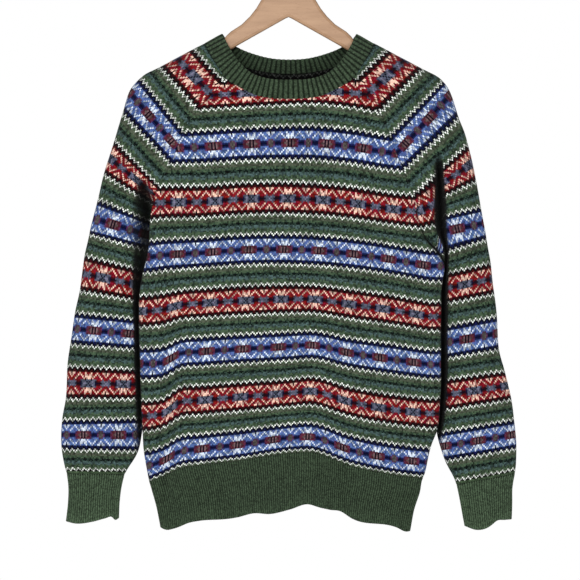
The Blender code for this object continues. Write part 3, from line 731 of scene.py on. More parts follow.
def back_seam(course, side):
    """Point on the back raglan seam: both are alike but run to their own underarm."""
    if course <= NECK_COURSE:
        return neck_ring(side * BACK_RAGLAN_TURN, "seam")
    row = look_up(BACK_SEAM, course)
    point = np.array([side * row.half_x, row.y, row.height])
    last = BACK_SEAM[-1]
    shift = underarm(side) - np.array([side * last.half_x, last.y, last.height])
    share = (course - NECK_COURSE) / (UNDERARM_COURSE - NECK_COURSE)
    return point + shift * share**3


def side_seam(course, side):
    """Point on the torso's side seam below the underarm."""
    row = look_up(TORSO_SIDES, course)
    x = float(row.left_x if side < 0 else row.right_x)
    return np.array([x, 0.0, float(front_height(x, course))])


def fold_depth(folds, x, z):
    """How far the folds push the cloth in at the given places."""
    total = np.zeros(np.shape(x))
    for fold in folds:
        along = (fold.top_z - z) / (fold.top_z - fold.bottom_z)
        away = x - mix(fold.top_x, fold.bottom_x, along)
        ends = ease(along, *FOLD_RISE) * (1 - ease(along, *FOLD_FALL))
        total = total + fold.depth * ends * np.exp(-((away / fold.width) ** 2))
    return total


def seam_end(facing, y):
    """Which way the wall's inner side lies from a panel's edge.

    facing is -1 or 1, the side to which the panel's outer face turns at the underarm.
    """
    turned = math.asin(min(1.0, abs(y) / SLEEVE_NOSE))
    return np.array([facing * math.cos(turned), math.copysign(math.sin(turned), y), 0.0])


def profile(share, roundness):
    """Depth of a flattened section, from 0 at its edges to 1 in the middle."""
    across = np.abs(2 * share - 1)
    rounded = np.clip(1 - across**PROFILE_POWER, 0, 1) ** (1 / PROFILE_POWER)
    return mix(4 * share * (1 - share), rounded, roundness)


def normals_of(grid, wrapped_from, outward):
    """Unit normals of a grid of points; rows from wrapped_from on are closed rings."""
    across = np.gradient(grid, axis=1)
    down = np.gradient(grid, axis=0)
    across[wrapped_from:, 0] = (grid[wrapped_from:, 1] - grid[wrapped_from:, -2]) / 2
    across[wrapped_from:, -1] = across[wrapped_from:, 0]
    normals = np.cross(across, down)
    normals /= np.linalg.norm(normals, axis=2, keepdims=True)
    rows, columns = grid.shape[:2]
    test = normals[rows // 2, columns // 4]
    return normals if np.dot(test, outward) > 0 else -normals


def course_at(x, z):
    """Course of the front at a point of it near the neck."""
    courses = np.linspace(NECK_COURSE - 3, 30, 115)
    heights = front_height(np.asarray(x)[:, None], courses[None])
    return np.array([np.interp(-place, -line, courses) for place, line in zip(z, heights)])


def back_height(course, spread, left, right):
    """Height of a course across the back, between its heights at the two edges."""
    middle = float(look_up(CENTRE_FRONT, course).height)
    middle += BACK_HEM_LIFT * ease(course, HEM_SEAM_COURSE, HEM_COURSE)
    return mix(left, right, spread) + (middle - (left + right) / 2) * 4 * spread * (1 - spread)


def torso_row(course, columns, face):
    """A row of the front (face -1) or back (face 1): its points and their true courses."""
    share = np.linspace(0, 1, columns + 1)
    roundness = float(ease(course, ROUNDING_COURSE, UNDERARM_COURSE))
    spread = mix(share, (1 - np.cos(np.pi * share)) / 2, GATHERING * roundness)
    seam = front_seam if face < 0 else back_seam
    if course >= UNDERARM_COURSE:
        seam = side_seam
    left, right = seam(course, -1), seam(course, 1)
    x = mix(left[0], right[0], spread)
    sides = look_up(TORSO_SIDES, course)
    edge = mix(abs(left[1]), abs(right[1]), spread)
    depth = np.maximum(sides.front_depth if face < 0 else sides.back_depth, edge)
    y = edge + (depth - edge) * profile(spread, roundness)
    lag = (NECK_BLEND_COURSE - course) / (NECK_BLEND_COURSE - NECK_COURSE)
    lag = max(0.0, lag)
    if face < 0:
        neck = neck_ring(mix(-FRONT_RAGLAN_TURN, FRONT_RAGLAN_TURN, share), "seam")
        start = course_at(neck[:, 0], neck[:, 2]) - NECK_COURSE
        true_course = course + start * lag
        z = front_height(x, true_course)
    else:
        neck = neck_ring(mix(NECK_TURN - BACK_RAGLAN_TURN, BACK_RAGLAN_TURN, share), "seam")
        z = back_height(course, spread, left[2], right[2])
        neck_ends = neck[0, 2], neck[-1, 2]
        drop = neck[:, 2] - back_height(NECK_COURSE, spread, *neck_ends)
        z += drop * lag**2
        true_course = course - drop / COURSE_HEIGHT * lag**2 + BACK_NECK_EARLY * lag
    z[0], z[-1] = left[2], right[2]
    folds = FRONT_FOLDS if face < 0 else BACK_FOLDS
    calm = ease(spread, 0, CALM_EDGE) * (1 - ease(spread, 1 - CALM_EDGE, 1))
    y = y - fold_depth(folds, x, z) * calm
    return np.stack([x, face * y, z], axis=1), true_course


def gradual(neck_row, first_row):
    """Rows that lead evenly from a panel's neck edge to its first full row."""
    return [mix(neck_row, first_row, step / NECK_ROWS) for step in range(NECK_ROWS)]


def torso_grid(columns, face):
    """Points and courses of the front or back, from the neck seam to the hem rib."""
    turns = {-1: (-FRONT_RAGLAN_TURN, FRONT_RAGLAN_TURN)}
    turns[1] = (NECK_TURN - BACK_RAGLAN_TURN, BACK_RAGLAN_TURN)
    neck = neck_ring(np.linspace(*turns[face], columns + 1), "seam")
    _, neck_course = torso_row(NECK_COURSE, columns, face)
    full = [torso_row(c, columns, face) for c in np.linspace(FIRST_COURSE, HEM_SEAM_COURSE, BODY_ROWS)]
    points = np.stack(gradual(neck, full[0][0]) + [row for row, _ in full])
    courses = np.stack(gradual(neck_course, full[0][1]) + [line for _, line in full])
    points[:, :, 1] += face * SEAM_GAP / 2
    return points, courses


def sleeve_row(outer, front, back, depth):
    """A ring, or an open bow over the shoulder, from the front seam to the back seam."""
    half = SLEEVE_COLUMNS // 2
    points = []
    for place in range(SLEEVE_COLUMNS + 1):
        end, face = (front, -1) if place <= half else (back, 1)
        deep = max(depth, abs(end[1]))
        last = math.pi - math.asin(min(1.0, abs(end[1]) / deep))
        angle = last * abs(place - half) / half
        across = (1 - math.cos(angle)) / (1 - math.cos(last))
        point = mix(outer, end, across)
        point[1] = face * deep * math.sin(angle)
        points.append(point)
    return np.array(points)


def sleeve_neck_row(side):
    """The sleeve's edge at the neckband, with its points gathered at the shoulder."""
    half = SLEEVE_COLUMNS // 2
    steps = np.sin(np.linspace(-math.pi / 2, math.pi / 2, SLEEVE_COLUMNS + 1))
    turns = np.where(
        np.arange(SLEEVE_COLUMNS + 1) <= half,
        RIDGE_TURN + steps * (RIDGE_TURN - FRONT_RAGLAN_TURN),
        RIDGE_TURN + steps * (BACK_RAGLAN_TURN - RIDGE_TURN),
    )
    return neck_ring(side * turns, "seam")


def cap_row(cap, seam_course, side):
    """A row of the sleeve over the shoulder, and the sleeve's own courses along it."""
    ridge = look_up(cap, seam_course)
    outer = np.array([ridge.outer_x, 0.0, ridge.outer_z])
    front, back = front_seam(seam_course, side), back_seam(seam_course, side)
    row = sleeve_row(outer, front, back, SLEEVE_NOSE)
    reach = np.abs(row[:, 0] - outer[0])
    even = 1 - reach / reach.max()
    pit = LEFT_PIT if side < 0 else RIGHT_PIT
    stepped = ease(np.abs(row[:, 0]), pit - PIT_HALF_WIDTH, pit + PIT_HALF_WIDTH)
    share = mix(even, stepped, float(ease(seam_course, 0, STEP_COURSE)))
    return row, mix(ridge.edge_course, ridge.course, share)


def ring_ends(ring):
    """The outer and the inner end of a flattened ring."""
    return np.array([ring.outer_x, 0.0, ring.outer_z]), np.array([ring.inner_x, 0.0, ring.inner_z])


def tube_row(tube, course):
    ring = look_up(tube, course)
    outer, inner = ring_ends(ring)
    return sleeve_row(outer, inner, inner, ring.depth) + (0, ring.behind, 0)


def sleeve_grid(side, cap, tube):
    """Points and courses of a sleeve, and the number of its first closed row."""
    first, first_course = cap_row(cap, FIRST_COURSE, side)
    _, neck_course = cap_row(cap, NECK_COURSE, side)
    rows = gradual(sleeve_neck_row(side), first)
    courses = gradual(neck_course, first_course)
    for seam_course in np.linspace(FIRST_COURSE, UNDERARM_COURSE, CAP_ROWS):
        row, course = cap_row(cap, seam_course, side)
        rows.append(row)
        courses.append(course)
    closed_from = len(rows) - 1
    for course in np.linspace(tube[0].course, tube[-1].course, TUBE_ROWS + 1)[1:]:
        rows.append(tube_row(tube, course))
        courses.append(np.full(SLEEVE_COLUMNS + 1, course))
    points = np.stack(rows)
    points[: closed_from + 1, (0, -1), 0] += side * SEAM_GAP
    return points, np.stack(courses), closed_from


def crease(points, normals, groove, back_folds):
    """Push a sleeve's front in along its groove and its back in along the folds.

    Returns the points and, for each, the share of painted shade put into its colour along the groove.
    """
    x, z = points[:, :, 0], points[:, :, 2]
    line = look_up(groove, -z)
    nearness = np.exp(-np.abs((x - line.x) / line.width) ** GROOVE_POWER)
    back = fold_depth(back_folds, x, z)
    faced = FACING_GAIN * normals[:, :, 1]
    push = line.depth * nearness * np.clip(-faced, 0, 1) - back * np.clip(faced, 0, 1)
    # Painted shade: the groove's darkness goes into the cloth's colour, deepest where the groove is
    # deep
    dark = nearness * np.clip(line.depth / GROOVE_PAINTED_BLACK_DEPTH, 0, 1)
    room = np.abs(points[:, ::-1, 1] - points[:, :, 1]) - 2 * CLOTH_WALL - LINING_GAP
    room = np.maximum(room, LEAST_ROOM)
    room *= np.where(push > 0, FRONT_ROOM, 1 - FRONT_ROOM)
    creased = points.copy()
    creased[:, :, 1] += room * np.tanh(push / room)
    return creased, dark


def uneven(points, normals, amount):
    """Slight unevenness of hung knitting, in long shallow waves."""
    x, y, z = (points[:, :, axis] for axis in range(3))
    wave = 0
    for share, *pair in RIPPLES:
        first, second = (np.sin(x / way.x + z / way.z + y / way.y + way.phase) for way in pair)
        wave = wave + share * first * second
    return points + normals * (amount * wave)[:, :, None]


class Nodes:
    """Short ways to add shader nodes to a new material."""

    def __init__(self, name):
        self.material = bpy.data.materials.new(name)
        self.material.use_nodes = True
        self.tree = self.material.node_tree
        self.shader = self.tree.nodes["Principled BSDF"]

    def add(self, kind, inputs=(), **settings):
        node = self.tree.nodes.new(kind)
        for key, value in settings.items():
            setattr(node, key, value)
        for key, value in dict(inputs).items():
            self.join(node.inputs[key], value)
        return node

    def join(self, socket, value):
        if isinstance(value, bpy.types.NodeSocket):
            self.tree.links.new(value, socket)
        else:
            socket.default_value = value

    def math(self, operation, *values):
        node = self.add("ShaderNodeMath", operation=operation)
        for socket, value in zip(node.inputs, values):
            self.join(socket, value)
        return node.outputs[0]

    def blend(self, factor, a, b):
        node = self.add("ShaderNodeMix", data_type="RGBA")
        self.join(node.inputs["Factor"], factor)
        self.join(node.inputs["A"], a)
        self.join(node.inputs["B"], b)
        return node.outputs["Result"]

    def scaled(self, colour, factor):
        node = self.add("ShaderNodeVectorMath", operation="SCALE")
        self.join(node.inputs[0], colour)
        self.join(node.inputs["Scale"], factor)
        return node.outputs[0]

    def ramp(self, factor, stops, interpolation="CONSTANT"):
        node = self.add("ShaderNodeValToRGB")
        node.color_ramp.interpolation = interpolation
        elements = node.color_ramp.elements
        elements.remove(elements[-1])
        elements[0].position = stops[0][0]
        elements[0].color = stops[0][1]
        for position, colour in stops[1:]:
            elements.new(position).color = colour
        self.join(node.inputs["Fac"], factor)
        return node.outputs["Color"]

    def noise(self, vector, scale, detail=2.0):
        return self.add(
            "ShaderNodeTexNoise", {"Vector": vector, "Scale": scale, "Detail": detail}
        ).outputs["Fac"]

    def shadow(self, reach):
        """Painted shadow in the colour: 1 on open cloth, falling to FOLD_SHADE at the bottom of a fold
        or hollow.
        """
        open_sky = self.add("ShaderNodeAmbientOcclusion", {"Distance": reach}, samples=8)
        fall = self.add("ShaderNodeMapRange", {"Value": open_sky.outputs["AO"]})
        fall.interpolation_type = "SMOOTHSTEP"
        for name, value in zip(("From Min", "From Max", "To Min"), (*OPEN_SKY, FOLD_SHADE)):
            self.join(fall.inputs[name], value)
        return fall.outputs["Result"]

    def stretched(self, vector, scale):
        node = self.add("ShaderNodeVectorMath", operation="MULTIPLY")
        self.join(node.inputs[0], vector)
        self.join(node.inputs[1], scale)
        return node.outputs[0]

    def finish(self, colour, roughness, bump_height=None, bump_depth=0.0):
        self.join(self.shader.inputs["Base Color"], colour)
        self.join(self.shader.inputs["Roughness"], roughness)
        if bump_height is not None:
            bump = self.add("ShaderNodeBump", {"Strength": 1.0, "Distance": bump_depth})
            self.join(bump.inputs["Height"], bump_height)
            self.join(self.shader.inputs["Normal"], bump.outputs["Normal"])
        return self.material


def linear(colour):
    """A screen colour, 0 to 255, as linear RGBA."""
    parts = [value / 255 for value in colour]
    parts = [p / 12.92 if p <= 0.04045 else ((p + 0.055) / 1.055) ** 2.4 for p in parts]
    return (*parts, 1.0)


def stitch_grid(nodes):
    """Stitch number, row, place in the stitch and V-shaped relief, from the knit UVs."""
    place = nodes.add("ShaderNodeUVMap", uv_map="knit").outputs["UV"]
    split = nodes.add("ShaderNodeSeparateXYZ", {"Vector": place})
    across = nodes.math("ADD", split.outputs["X"], 0.5)
    down = split.outputs["Y"]
    stitch = nodes.math("FLOOR", across)
    inside = nodes.math("FRACT", across)
    from_centre = nodes.math("ABSOLUTE", nodes.math("SUBTRACT", inside, 0.5))
    lifted = nodes.math("MULTIPLY_ADD", from_centre, 4 * STITCH_LEAN, -STITCH_LEAN)
    leaned = nodes.math("ADD", down, lifted)
    row = nodes.math("FLOOR", leaned)
    step = nodes.math("FRACT", leaned)
    leg = nodes.math("ABSOLUTE", nodes.math("SINE", nodes.math("MULTIPLY", inside, 2 * math.pi)))
    strand = nodes.math("SINE", nodes.math("MULTIPLY", step, math.pi))
    rounded = nodes.math("MULTIPLY_ADD", strand, STRAND_SHARE, 1 - STRAND_SHARE)
    return place, stitch, row, nodes.math("MULTIPLY", leg, rounded)


def stray_stitch(nodes, stitch, row):
    """A random value and colour for each stitch."""
    cell = nodes.add("ShaderNodeCombineXYZ", {"X": stitch, "Y": row}).outputs["Vector"]
    return nodes.add("ShaderNodeTexWhiteNoise", {"Vector": cell}, noise_dimensions="2D").outputs


def wool(nodes, colour, place, relief, fuzz, depth):
    """Finish with fibres over the stitches and the soft edge light of brushed wool."""
    fibre = nodes.noise(nodes.stretched(place, FIBRE_SCALE), 2.0, 4.0)
    height = nodes.math("MULTIPLY_ADD", fibre, fuzz, relief)
    for name, value in WOOL_SHEEN.items():
        nodes.shader.inputs[name].default_value = value
    roughness = nodes.math("MULTIPLY_ADD", fibre, *WOOL_ROUGHNESS)
    return nodes.finish(colour, roughness, height, depth)


def chart_row(nodes, place, cells, yarns):
    """Colour ramp of one chart row, with neighbouring stitches of a yarn in one step."""
    stops = []
    for number, yarn in enumerate(cells):
        if not number or yarn != cells[number - 1]:
            stops.append((number / len(cells), linear(yarns[yarn])))
    return nodes.ramp(place, stops)


def chart(nodes, stitch, row, rows, half, yarns):
    """Colours of a chart whose stitches mirror every half repeat."""
    mirrored = nodes.math("PINGPONG", stitch, float(half))
    place = nodes.math("DIVIDE", nodes.math("ADD", mirrored, 0.5), half + 1.0)
    colour = chart_row(nodes, place, rows[0], yarns)
    for number, cells in enumerate(rows[1:], 1):
        if cells != rows[number - 1]:
            below = nodes.math("GREATER_THAN", row, number - 0.5)
            colour = nodes.blend(below, colour, chart_row(nodes, place, cells, yarns))
    return colour


def fair_isle(name, reverse):
    """Stranded knitting in the charted bands, with painted shade in its hollows, folds and armpit
    grooves; its reverse shows muted floats, darkened with painted shade of the jumper's inside.
    """
    nodes = Nodes(name)
    place, stitch, row, relief = stitch_grid(nodes)
    band_row = nodes.math("FLOOR", nodes.math("SUBTRACT", row, BAND_START))
    pair = nodes.math("FLOOR", nodes.math("DIVIDE", band_row, float(REPEAT_ROWS)))
    in_pair = nodes.math("SUBTRACT", band_row, nodes.math("MULTIPLY", pair, float(REPEAT_ROWS)))
    mirrored_row = nodes.math("PINGPONG", in_pair, float(BAND_ROWS // 2))
    red = chart(nodes, stitch, mirrored_row, OUTER_ROWS + RED_CENTRE, HALF_REPEAT, RED_YARNS)
    blue = chart(nodes, stitch, mirrored_row, OUTER_ROWS + BLUE_CENTRE, HALF_REPEAT, BLUE_YARNS)
    odd_pair = nodes.math("PINGPONG", pair, 1.0)
    band = nodes.blend(odd_pair, blue, red)
    plain_row = nodes.math("SUBTRACT", in_pair, float(BAND_ROWS))
    plain = chart(nodes, stitch, plain_row, PLAIN_CHART, PLAIN_HALF, PLAIN_YARNS)
    is_plain = nodes.math("GREATER_THAN", in_pair, BAND_ROWS - 0.5)
    colour = nodes.blend(is_plain, band, plain)
    past = nodes.math("GREATER_THAN", row, LAST_CHART_ROW + 0.5)
    colour = nodes.blend(past, colour, linear(RED_YARNS["g"]))
    stray = nodes.add("ShaderNodeSeparateColor", {"Color": stray_stitch(nodes, stitch, row)["Color"]})
    spread = nodes.math("MULTIPLY_ADD", is_plain, PLAIN_TONE_SPREAD - TONE_SPREAD, TONE_SPREAD)
    tone = nodes.math("SUBTRACT", stray.outputs["Red"], 0.5)
    tone = nodes.math("MULTIPLY_ADD", tone, spread, 1.0)
    mottle = nodes.math("MULTIPLY_ADD", nodes.noise(place, MOTTLE_SCALE), MOTTLE, 1 - MOTTLE / 2)
    tone = nodes.math("MULTIPLY", tone, mottle)
    # Painted shade: the hollows between the stitches' legs are darker
    tone = nodes.math("MULTIPLY", tone, nodes.math("MULTIPLY_ADD", relief, *KNIT_PAINTED_HOLLOW_TONES))
    hue = nodes.math("MULTIPLY_ADD", stray.outputs["Green"], HUE_SPREAD, 0.5 - HUE_SPREAD / 2)
    colour = nodes.add("ShaderNodeHueSaturation", {"Color": colour, "Hue": hue, "Value": tone})
    colour = colour.outputs["Color"]
    if reverse:
        # Painted shade of the jumper's inside: the chart's colours halved and mixed with dark floats
        floats = nodes.noise(nodes.stretched(place, (0.25, 2.0, 1.0)), 1.0)
        stops = [(0.0, linear(FLOAT_PAINTED_SHADE_DARK)), (1.0, linear(FLOAT_PAINTED_SHADE_PALE))]
        shade = nodes.ramp(floats, stops, "LINEAR")
        colour = nodes.blend(0.4, nodes.scaled(colour, 0.5), shade)
    # Painted shadow in folds and hollows, reaching further on the inside of the jumper
    colour = nodes.scaled(colour, nodes.shadow(INSIDE_REACH if reverse else FOLD_REACH))
    # Painted shade along the armpit grooves, read from the points' groove layer
    groove = nodes.add("ShaderNodeAttribute", attribute_name="groove").outputs["Fac"]
    colour = nodes.scaled(colour, nodes.math("MULTIPLY_ADD", groove, -GROOVE_PAINTED_SHADE, 1.0))
    return wool(nodes, colour, place, relief, KNIT_FUZZ, KNIT_BUMP)


def green_rib(look):
    """Heathered green rib, with painted shade in the hollows between its ribs and stitches and in its
    folds. Its UVs count wales across and rows down.
    """
    nodes = Nodes(look.name)
    place, stitch, row, relief = stitch_grid(nodes)
    across = nodes.add("ShaderNodeSeparateXYZ", {"Vector": place}).outputs["X"]
    rib = nodes.math("DIVIDE", across, float(look.wales))
    heather = nodes.noise(nodes.stretched(place, (1.0, 0.6, 1.0)), 0.9, 4.0)
    tone = nodes.math("ADD", stray_stitch(nodes, stitch, row)["Value"], 0.5)
    tone = nodes.math("MULTIPLY", tone, nodes.math("ADD", heather, 0.5))
    # Painted shade: the hollows between the stitches' legs are darker
    tone = nodes.math("MULTIPLY", tone, nodes.math("MULTIPLY_ADD", relief, *RIB_PAINTED_HOLLOW_TONES))
    # Painted shade: the colour falls towards a dark green in the hollows between the ribs
    raised = nodes.math("SINE", nodes.math("MULTIPLY", rib, 2 * math.pi))
    raised = nodes.math("MULTIPLY_ADD", raised, look.contrast, 0.75)
    colour = nodes.blend(raised, linear(RIB_PAINTED_SHADE_COLOUR), linear(RIB_GREEN))
    # Painted shadow in folds and hollows
    tone = nodes.math("MULTIPLY", tone, nodes.shadow(FOLD_REACH))
    # The yarn's tone, with painted light on the cuffs
    colour = nodes.scaled(colour, nodes.math("MULTIPLY", tone, look.brightness))
    return wool(nodes, colour, place, relief, RIB_FUZZ, RIB_BUMP)


def beech():
    """Pale beech with fine grain and short dark flecks along the hanger."""
    nodes = Nodes("beech")
    place = nodes.add("ShaderNodeTexCoord").outputs["Object"]
    grain = nodes.noise(nodes.stretched(place, BEECH_GRAIN), 1.0, 6.0)
    fleck = nodes.noise(nodes.stretched(place, BEECH_FLECKS), 1.0, 2.0)
    colour = nodes.ramp(grain, [(0.3, linear(BEECH_DARK)), (0.7, linear(BEECH_LIGHT))], "LINEAR")
    dark = nodes.math("GREATER_THAN", fleck, 0.66)
    colour = nodes.blend(nodes.math("MULTIPLY", dark, 0.35), colour, linear(FLECK_COLOUR))
    roughness = nodes.math("MULTIPLY_ADD", grain, 0.2, 0.35)
    return nodes.finish(colour, roughness, grain, 0.0002)


def steel():
    """Drawn steel wire with fine marks along it."""
    nodes = Nodes("drawn_steel")
    place = nodes.add("ShaderNodeTexCoord").outputs["Object"]
    marks = nodes.noise(nodes.stretched(place, WIRE_MARKS), 1.0, 3.0)
    colour = nodes.ramp(marks, [(0.3, linear(STEEL_DARK)), (0.7, linear(STEEL_LIGHT))], "LINEAR")
    nodes.shader.inputs["Metallic"].default_value = 1.0
    roughness = nodes.math("MULTIPLY_ADD", marks, 0.2, 0.18)
    return nodes.finish(colour, roughness, marks, 0.00005)


def placed(name, data, place=(0.0, 0.0, 0.0)):
    """A new object of the scene."""
    thing = bpy.data.objects.new(name, data)
    thing.location = place
    bpy.context.scene.collection.objects.link(thing)
    return thing


def rounded_edge(outer, inner, beyond, reach):
    """Rows that close a cloth's edge with a half round between its two sides."""
    middle = (outer + inner) / 2
    half = (outer - inner) / 2
    out = outer - beyond
    out /= np.linalg.norm(out, axis=1, keepdims=True)
    size = np.linalg.norm(half, axis=1, keepdims=True) * reach
    rows = []
    for step in range(1, EDGE_ROWS + 1):
        angle = math.pi * step / (EDGE_ROWS + 1)
        rows.append(middle + half * math.cos(angle) + out * size * math.sin(angle))
    return rows


def cloth(name, outer, inner, uvs, closed_from, materials, reaches=(SEAM_REACH,) * 2, dark=None):
    """Thin shell between an outer and an inner grid, both with the same rows and columns.

    uvs are the stitch and course of each grid point. Rows from closed_from on are rings
    whose last point repeats the first. reaches are how round the first and last rows are,
    and dark is the share of painted shade in the colour at each outer and each inner point.
    """
    count = len(outer)
    first = rounded_edge(inner[0], outer[0], inner[1], reaches[0])
    last = rounded_edge(outer[-1], inner[-1], outer[-2], reaches[1])
    loop = list(outer) + last + list(inner[::-1]) + first
    loop_uvs = list(uvs) + [uvs[-1]] * EDGE_ROWS + list(uvs[::-1]) + [uvs[0]] * EDGE_ROWS
    is_ring = [row >= closed_from for row in range(count)]
    is_ring += [is_ring[-1]] * EDGE_ROWS + is_ring[::-1] + [is_ring[0]] * EDGE_ROWS
    inner_start = count + EDGE_ROWS
    mesh = bmesh.new()
    layer = mesh.loops.layers.uv.new("knit")
    # The groove layer of the points holds the painted shade along the armpit grooves
    shade = mesh.verts.layers.float.new("groove")
    verts = []
    for row, ring in zip(loop, is_ring):
        line = [mesh.verts.new(point * MILLIMETRE) for point in (row[:-1] if ring else row)]
        verts.append(line + line[:1] if ring else line)
    if dark is not None:
        lines = zip(verts[:count] + verts[inner_start:], list(dark[0]) + list(dark[1][::-1]))
        for line, shares in lines:
            for vert, share in zip(line, shares):
                vert[shade] = max(vert[shade], share)

    def add_face(*corners):
        face = mesh.faces.new([verts[row][place] for row, place in corners])
        for corner, (row, place) in zip(face.loops, corners):
            corner[layer].uv = loop_uvs[row][place]
        return face

    for row in range(len(loop)):
        below = (row + 1) % len(loop)
        inside = inner_start - 1 <= row < inner_start + count
        for k in range(len(verts[0]) - 1):
            face = add_face((row, k), (row, k + 1), (below, k + 1), (below, k))
            face.smooth = True
            face.material_index = int(inside) if len(materials) > 1 else 0
    for row in range(min(closed_from, count - 1)):
        behind = inner_start + count - 1 - row
        for k in (0, -1):
            add_face((row, k), (row + 1, k), (behind - 1, k), (behind, k))
    for k in (0, -1):
        if not is_ring[0]:
            mesh.faces.new([verts[r][k] for r in range(-EDGE_ROWS - 1, 1)])
        if not is_ring[count - 1]:
            mesh.faces.new([verts[r][k] for r in range(count - 1, inner_start + 1)])
    bmesh.ops.recalc_face_normals(mesh, faces=mesh.faces)
    data = bpy.data.meshes.new(name)
    mesh.to_mesh(data)
    mesh.free()
    for material in materials:
        data.materials.append(material)
    return placed(name, data)


def declare(cloth_piece):
    piece = PIECES[cloth_piece.name]
    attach(cloth_piece, "root")
    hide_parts(piece.node)


def body_uvs(points, courses):
    """Stitch and course numbers over the front or back."""
    wale = look_up(BODY_WALES, courses)
    away = points[:, :, 0] - wale.centre
    return np.stack([away / np.where(away < 0, wale.left, wale.right), courses], axis=2)


def body_panel(name, face, materials):
    outer, courses = torso_grid(BODY_COLUMNS, face)
    normals = normals_of(outer, len(outer), np.array([0, face, 0]))
    uvs = body_uvs(outer, courses)
    outer = uneven(outer, normals, UNEVENNESS)
    for row in range(len(outer)):
        for place, facing in ((0, -1), (-1, 1)):
            normals[row, place] = seam_end(facing, face * abs(outer[row, place, 1]))
    inner = outer - CLOTH_WALL * normals
    return cloth(name, outer, inner, uvs, len(outer), materials)


def sleeve_uvs(points, courses, closed_from, crown):
    """Stitch and course numbers over a sleeve, the same on its front and back.

    Stitches are counted from the outer fold. On the cap they slide along each row so that
    the columns of stitches cross the rows squarely in the middle of the front.
    """
    half = SLEEVE_COLUMNS // 2
    middle = slice(half // 4, 3 * half // 4)
    steps = np.linalg.norm(np.diff(points, axis=1), axis=2)
    reach = np.concatenate([np.zeros((len(points), 1)), np.cumsum(steps, axis=1)], axis=1)
    reach = np.abs(reach - reach[:, half][:, None])
    inward = -np.gradient(points, axis=1)
    inward /= np.linalg.norm(inward, axis=2, keepdims=True)
    slide = (np.diff(points, axis=0) * inward[:-1]).sum(axis=2)
    slide = (reach[:-1] - reach[1:] + slide)[:, middle].mean(axis=1)
    offset = np.concatenate([[0], np.cumsum(slide)])
    offset -= offset[closed_from]
    offset[closed_from:] = 0
    lowest = np.maximum(courses[:, half], courses[closed_from, half])
    turn = crown.stitch + crown.drift * (lowest - lowest[0])
    return np.stack([(reach + offset[:, None]) / SLEEVE_STITCH + turn[:, None], courses], axis=2)


def sleeve(name, side, cap, tube, groove, crown, materials):
    outer, courses, closed_from = sleeve_grid(side, cap, tube)
    normals = normals_of(outer, closed_from, np.array([0, -1, 0]))
    uvs = sleeve_uvs(outer, courses, closed_from, crown)
    # The groove's painted shade, on all inner points and on the front half of the outer points
    outer, inner_painted_shade = crease(outer, normals, groove, SLEEVE_BACK_FOLDS)
    outer_painted_shade = inner_painted_shade * (np.arange(SLEEVE_COLUMNS + 1) <= SLEEVE_COLUMNS // 2)
    normals = normals_of(outer, closed_from, np.array([0, -1, 0]))
    outer = uneven(outer, normals, UNEVENNESS)
    for row in range(closed_from + 1):
        for place in (0, -1):
            normals[row, place] = seam_end(-side, outer[row, place, 1])
    inner = outer - CLOTH_WALL * normals
    inner[closed_from + 1:, -1] = inner[closed_from + 1:, 0]
    return cloth(name, outer, inner, uvs, closed_from + 1, materials, dark=(outer_painted_shade, inner_painted_shade))


def distances(points):
    """How far along a run of straight lines each of its points is."""
    steps = np.linalg.norm(np.diff(points, axis=0), axis=1)
    return np.concatenate([[0], np.cumsum(steps)])


def resample(points, count):
    """Points at even distances along a run of straight lines."""
    along = distances(points)
    at = np.linspace(0, along[-1], count + 1)
    return np.stack([np.interp(at, along, points[:, axis]) for axis in range(3)], axis=1)


def rib_wave(columns, per_rib):
    """Height of the ribs, -0.5 to 0.5, at each of the columns."""
    wave = np.cos(2 * math.pi * (np.arange(columns + 1) / per_rib - 0.25))
    return np.tanh(RIB_SHARPNESS * wave) / np.tanh(RIB_SHARPNESS) / 2


def ribbed_cloth(name, base, normals, rib, courses, is_ring, material):
    """Ribbed band: raised ribs outside, and the same ribs the other way round inside."""
    columns = base.shape[1] - 1
    per_rib = columns / rib.count
    wave = rib_wave(columns, per_rib)[None, :, None]
    rows = len(base)
    flatter = EDGE_FLATTENING * ease(np.linspace(0, 1, rows), FLATTER_FROM, 1)
    relief = rib.relief * (1 - flatter)[:, None, None]
    outer = base + normals * relief * wave
    inner = base - normals * (rib.wall + relief / 2 - INSIDE_RELIEF * relief * wave)
    stitches = np.repeat((np.arange(columns + 1) / per_rib * rib.wales)[None], rows, axis=0)
    lines = np.repeat(np.linspace(*courses, rows)[:, None], columns + 1, axis=1)
    uvs = np.stack([stitches, lines], axis=2)
    closed_from = 0 if is_ring else rows
    return cloth(name, outer, inner, uvs, closed_from, [material], (SEAM_REACH, FREE_REACH))


def hem_rib(name, face, material):
    rows = []
    for course in np.linspace(HEM_SEAM_COURSE, HEM_COURSE, HEM_RIB.rows):
        fine, _ = torso_row(course, FINE, face)
        if face < 0:
            droop = look_up(HEM_DROOP, fine[:, 0]).drop
            fine[:, 2] -= droop * ease(course, HEM_START_DROOP, HEM_COURSE)
        rows.append(resample(fine, HEM_RIB.points * HEM_RIB.count))
    base = np.stack(rows)
    base[0, :, 2] -= SEAM_GAP
    base[:, :, 1] += face * SEAM_GAP / 2
    normals = normals_of(base, len(base), np.array([0, face, 0]))
    normals[:, 0] = (-1, 0, 0)
    normals[:, -1] = (1, 0, 0)
    normals[:, :, 2] = 0
    normals /= np.linalg.norm(normals, axis=2, keepdims=True)
    courses = (HEM_SEAM_COURSE, HEM_COURSE)
    return ribbed_cloth(name, base, normals, HEM_RIB, courses, False, material)


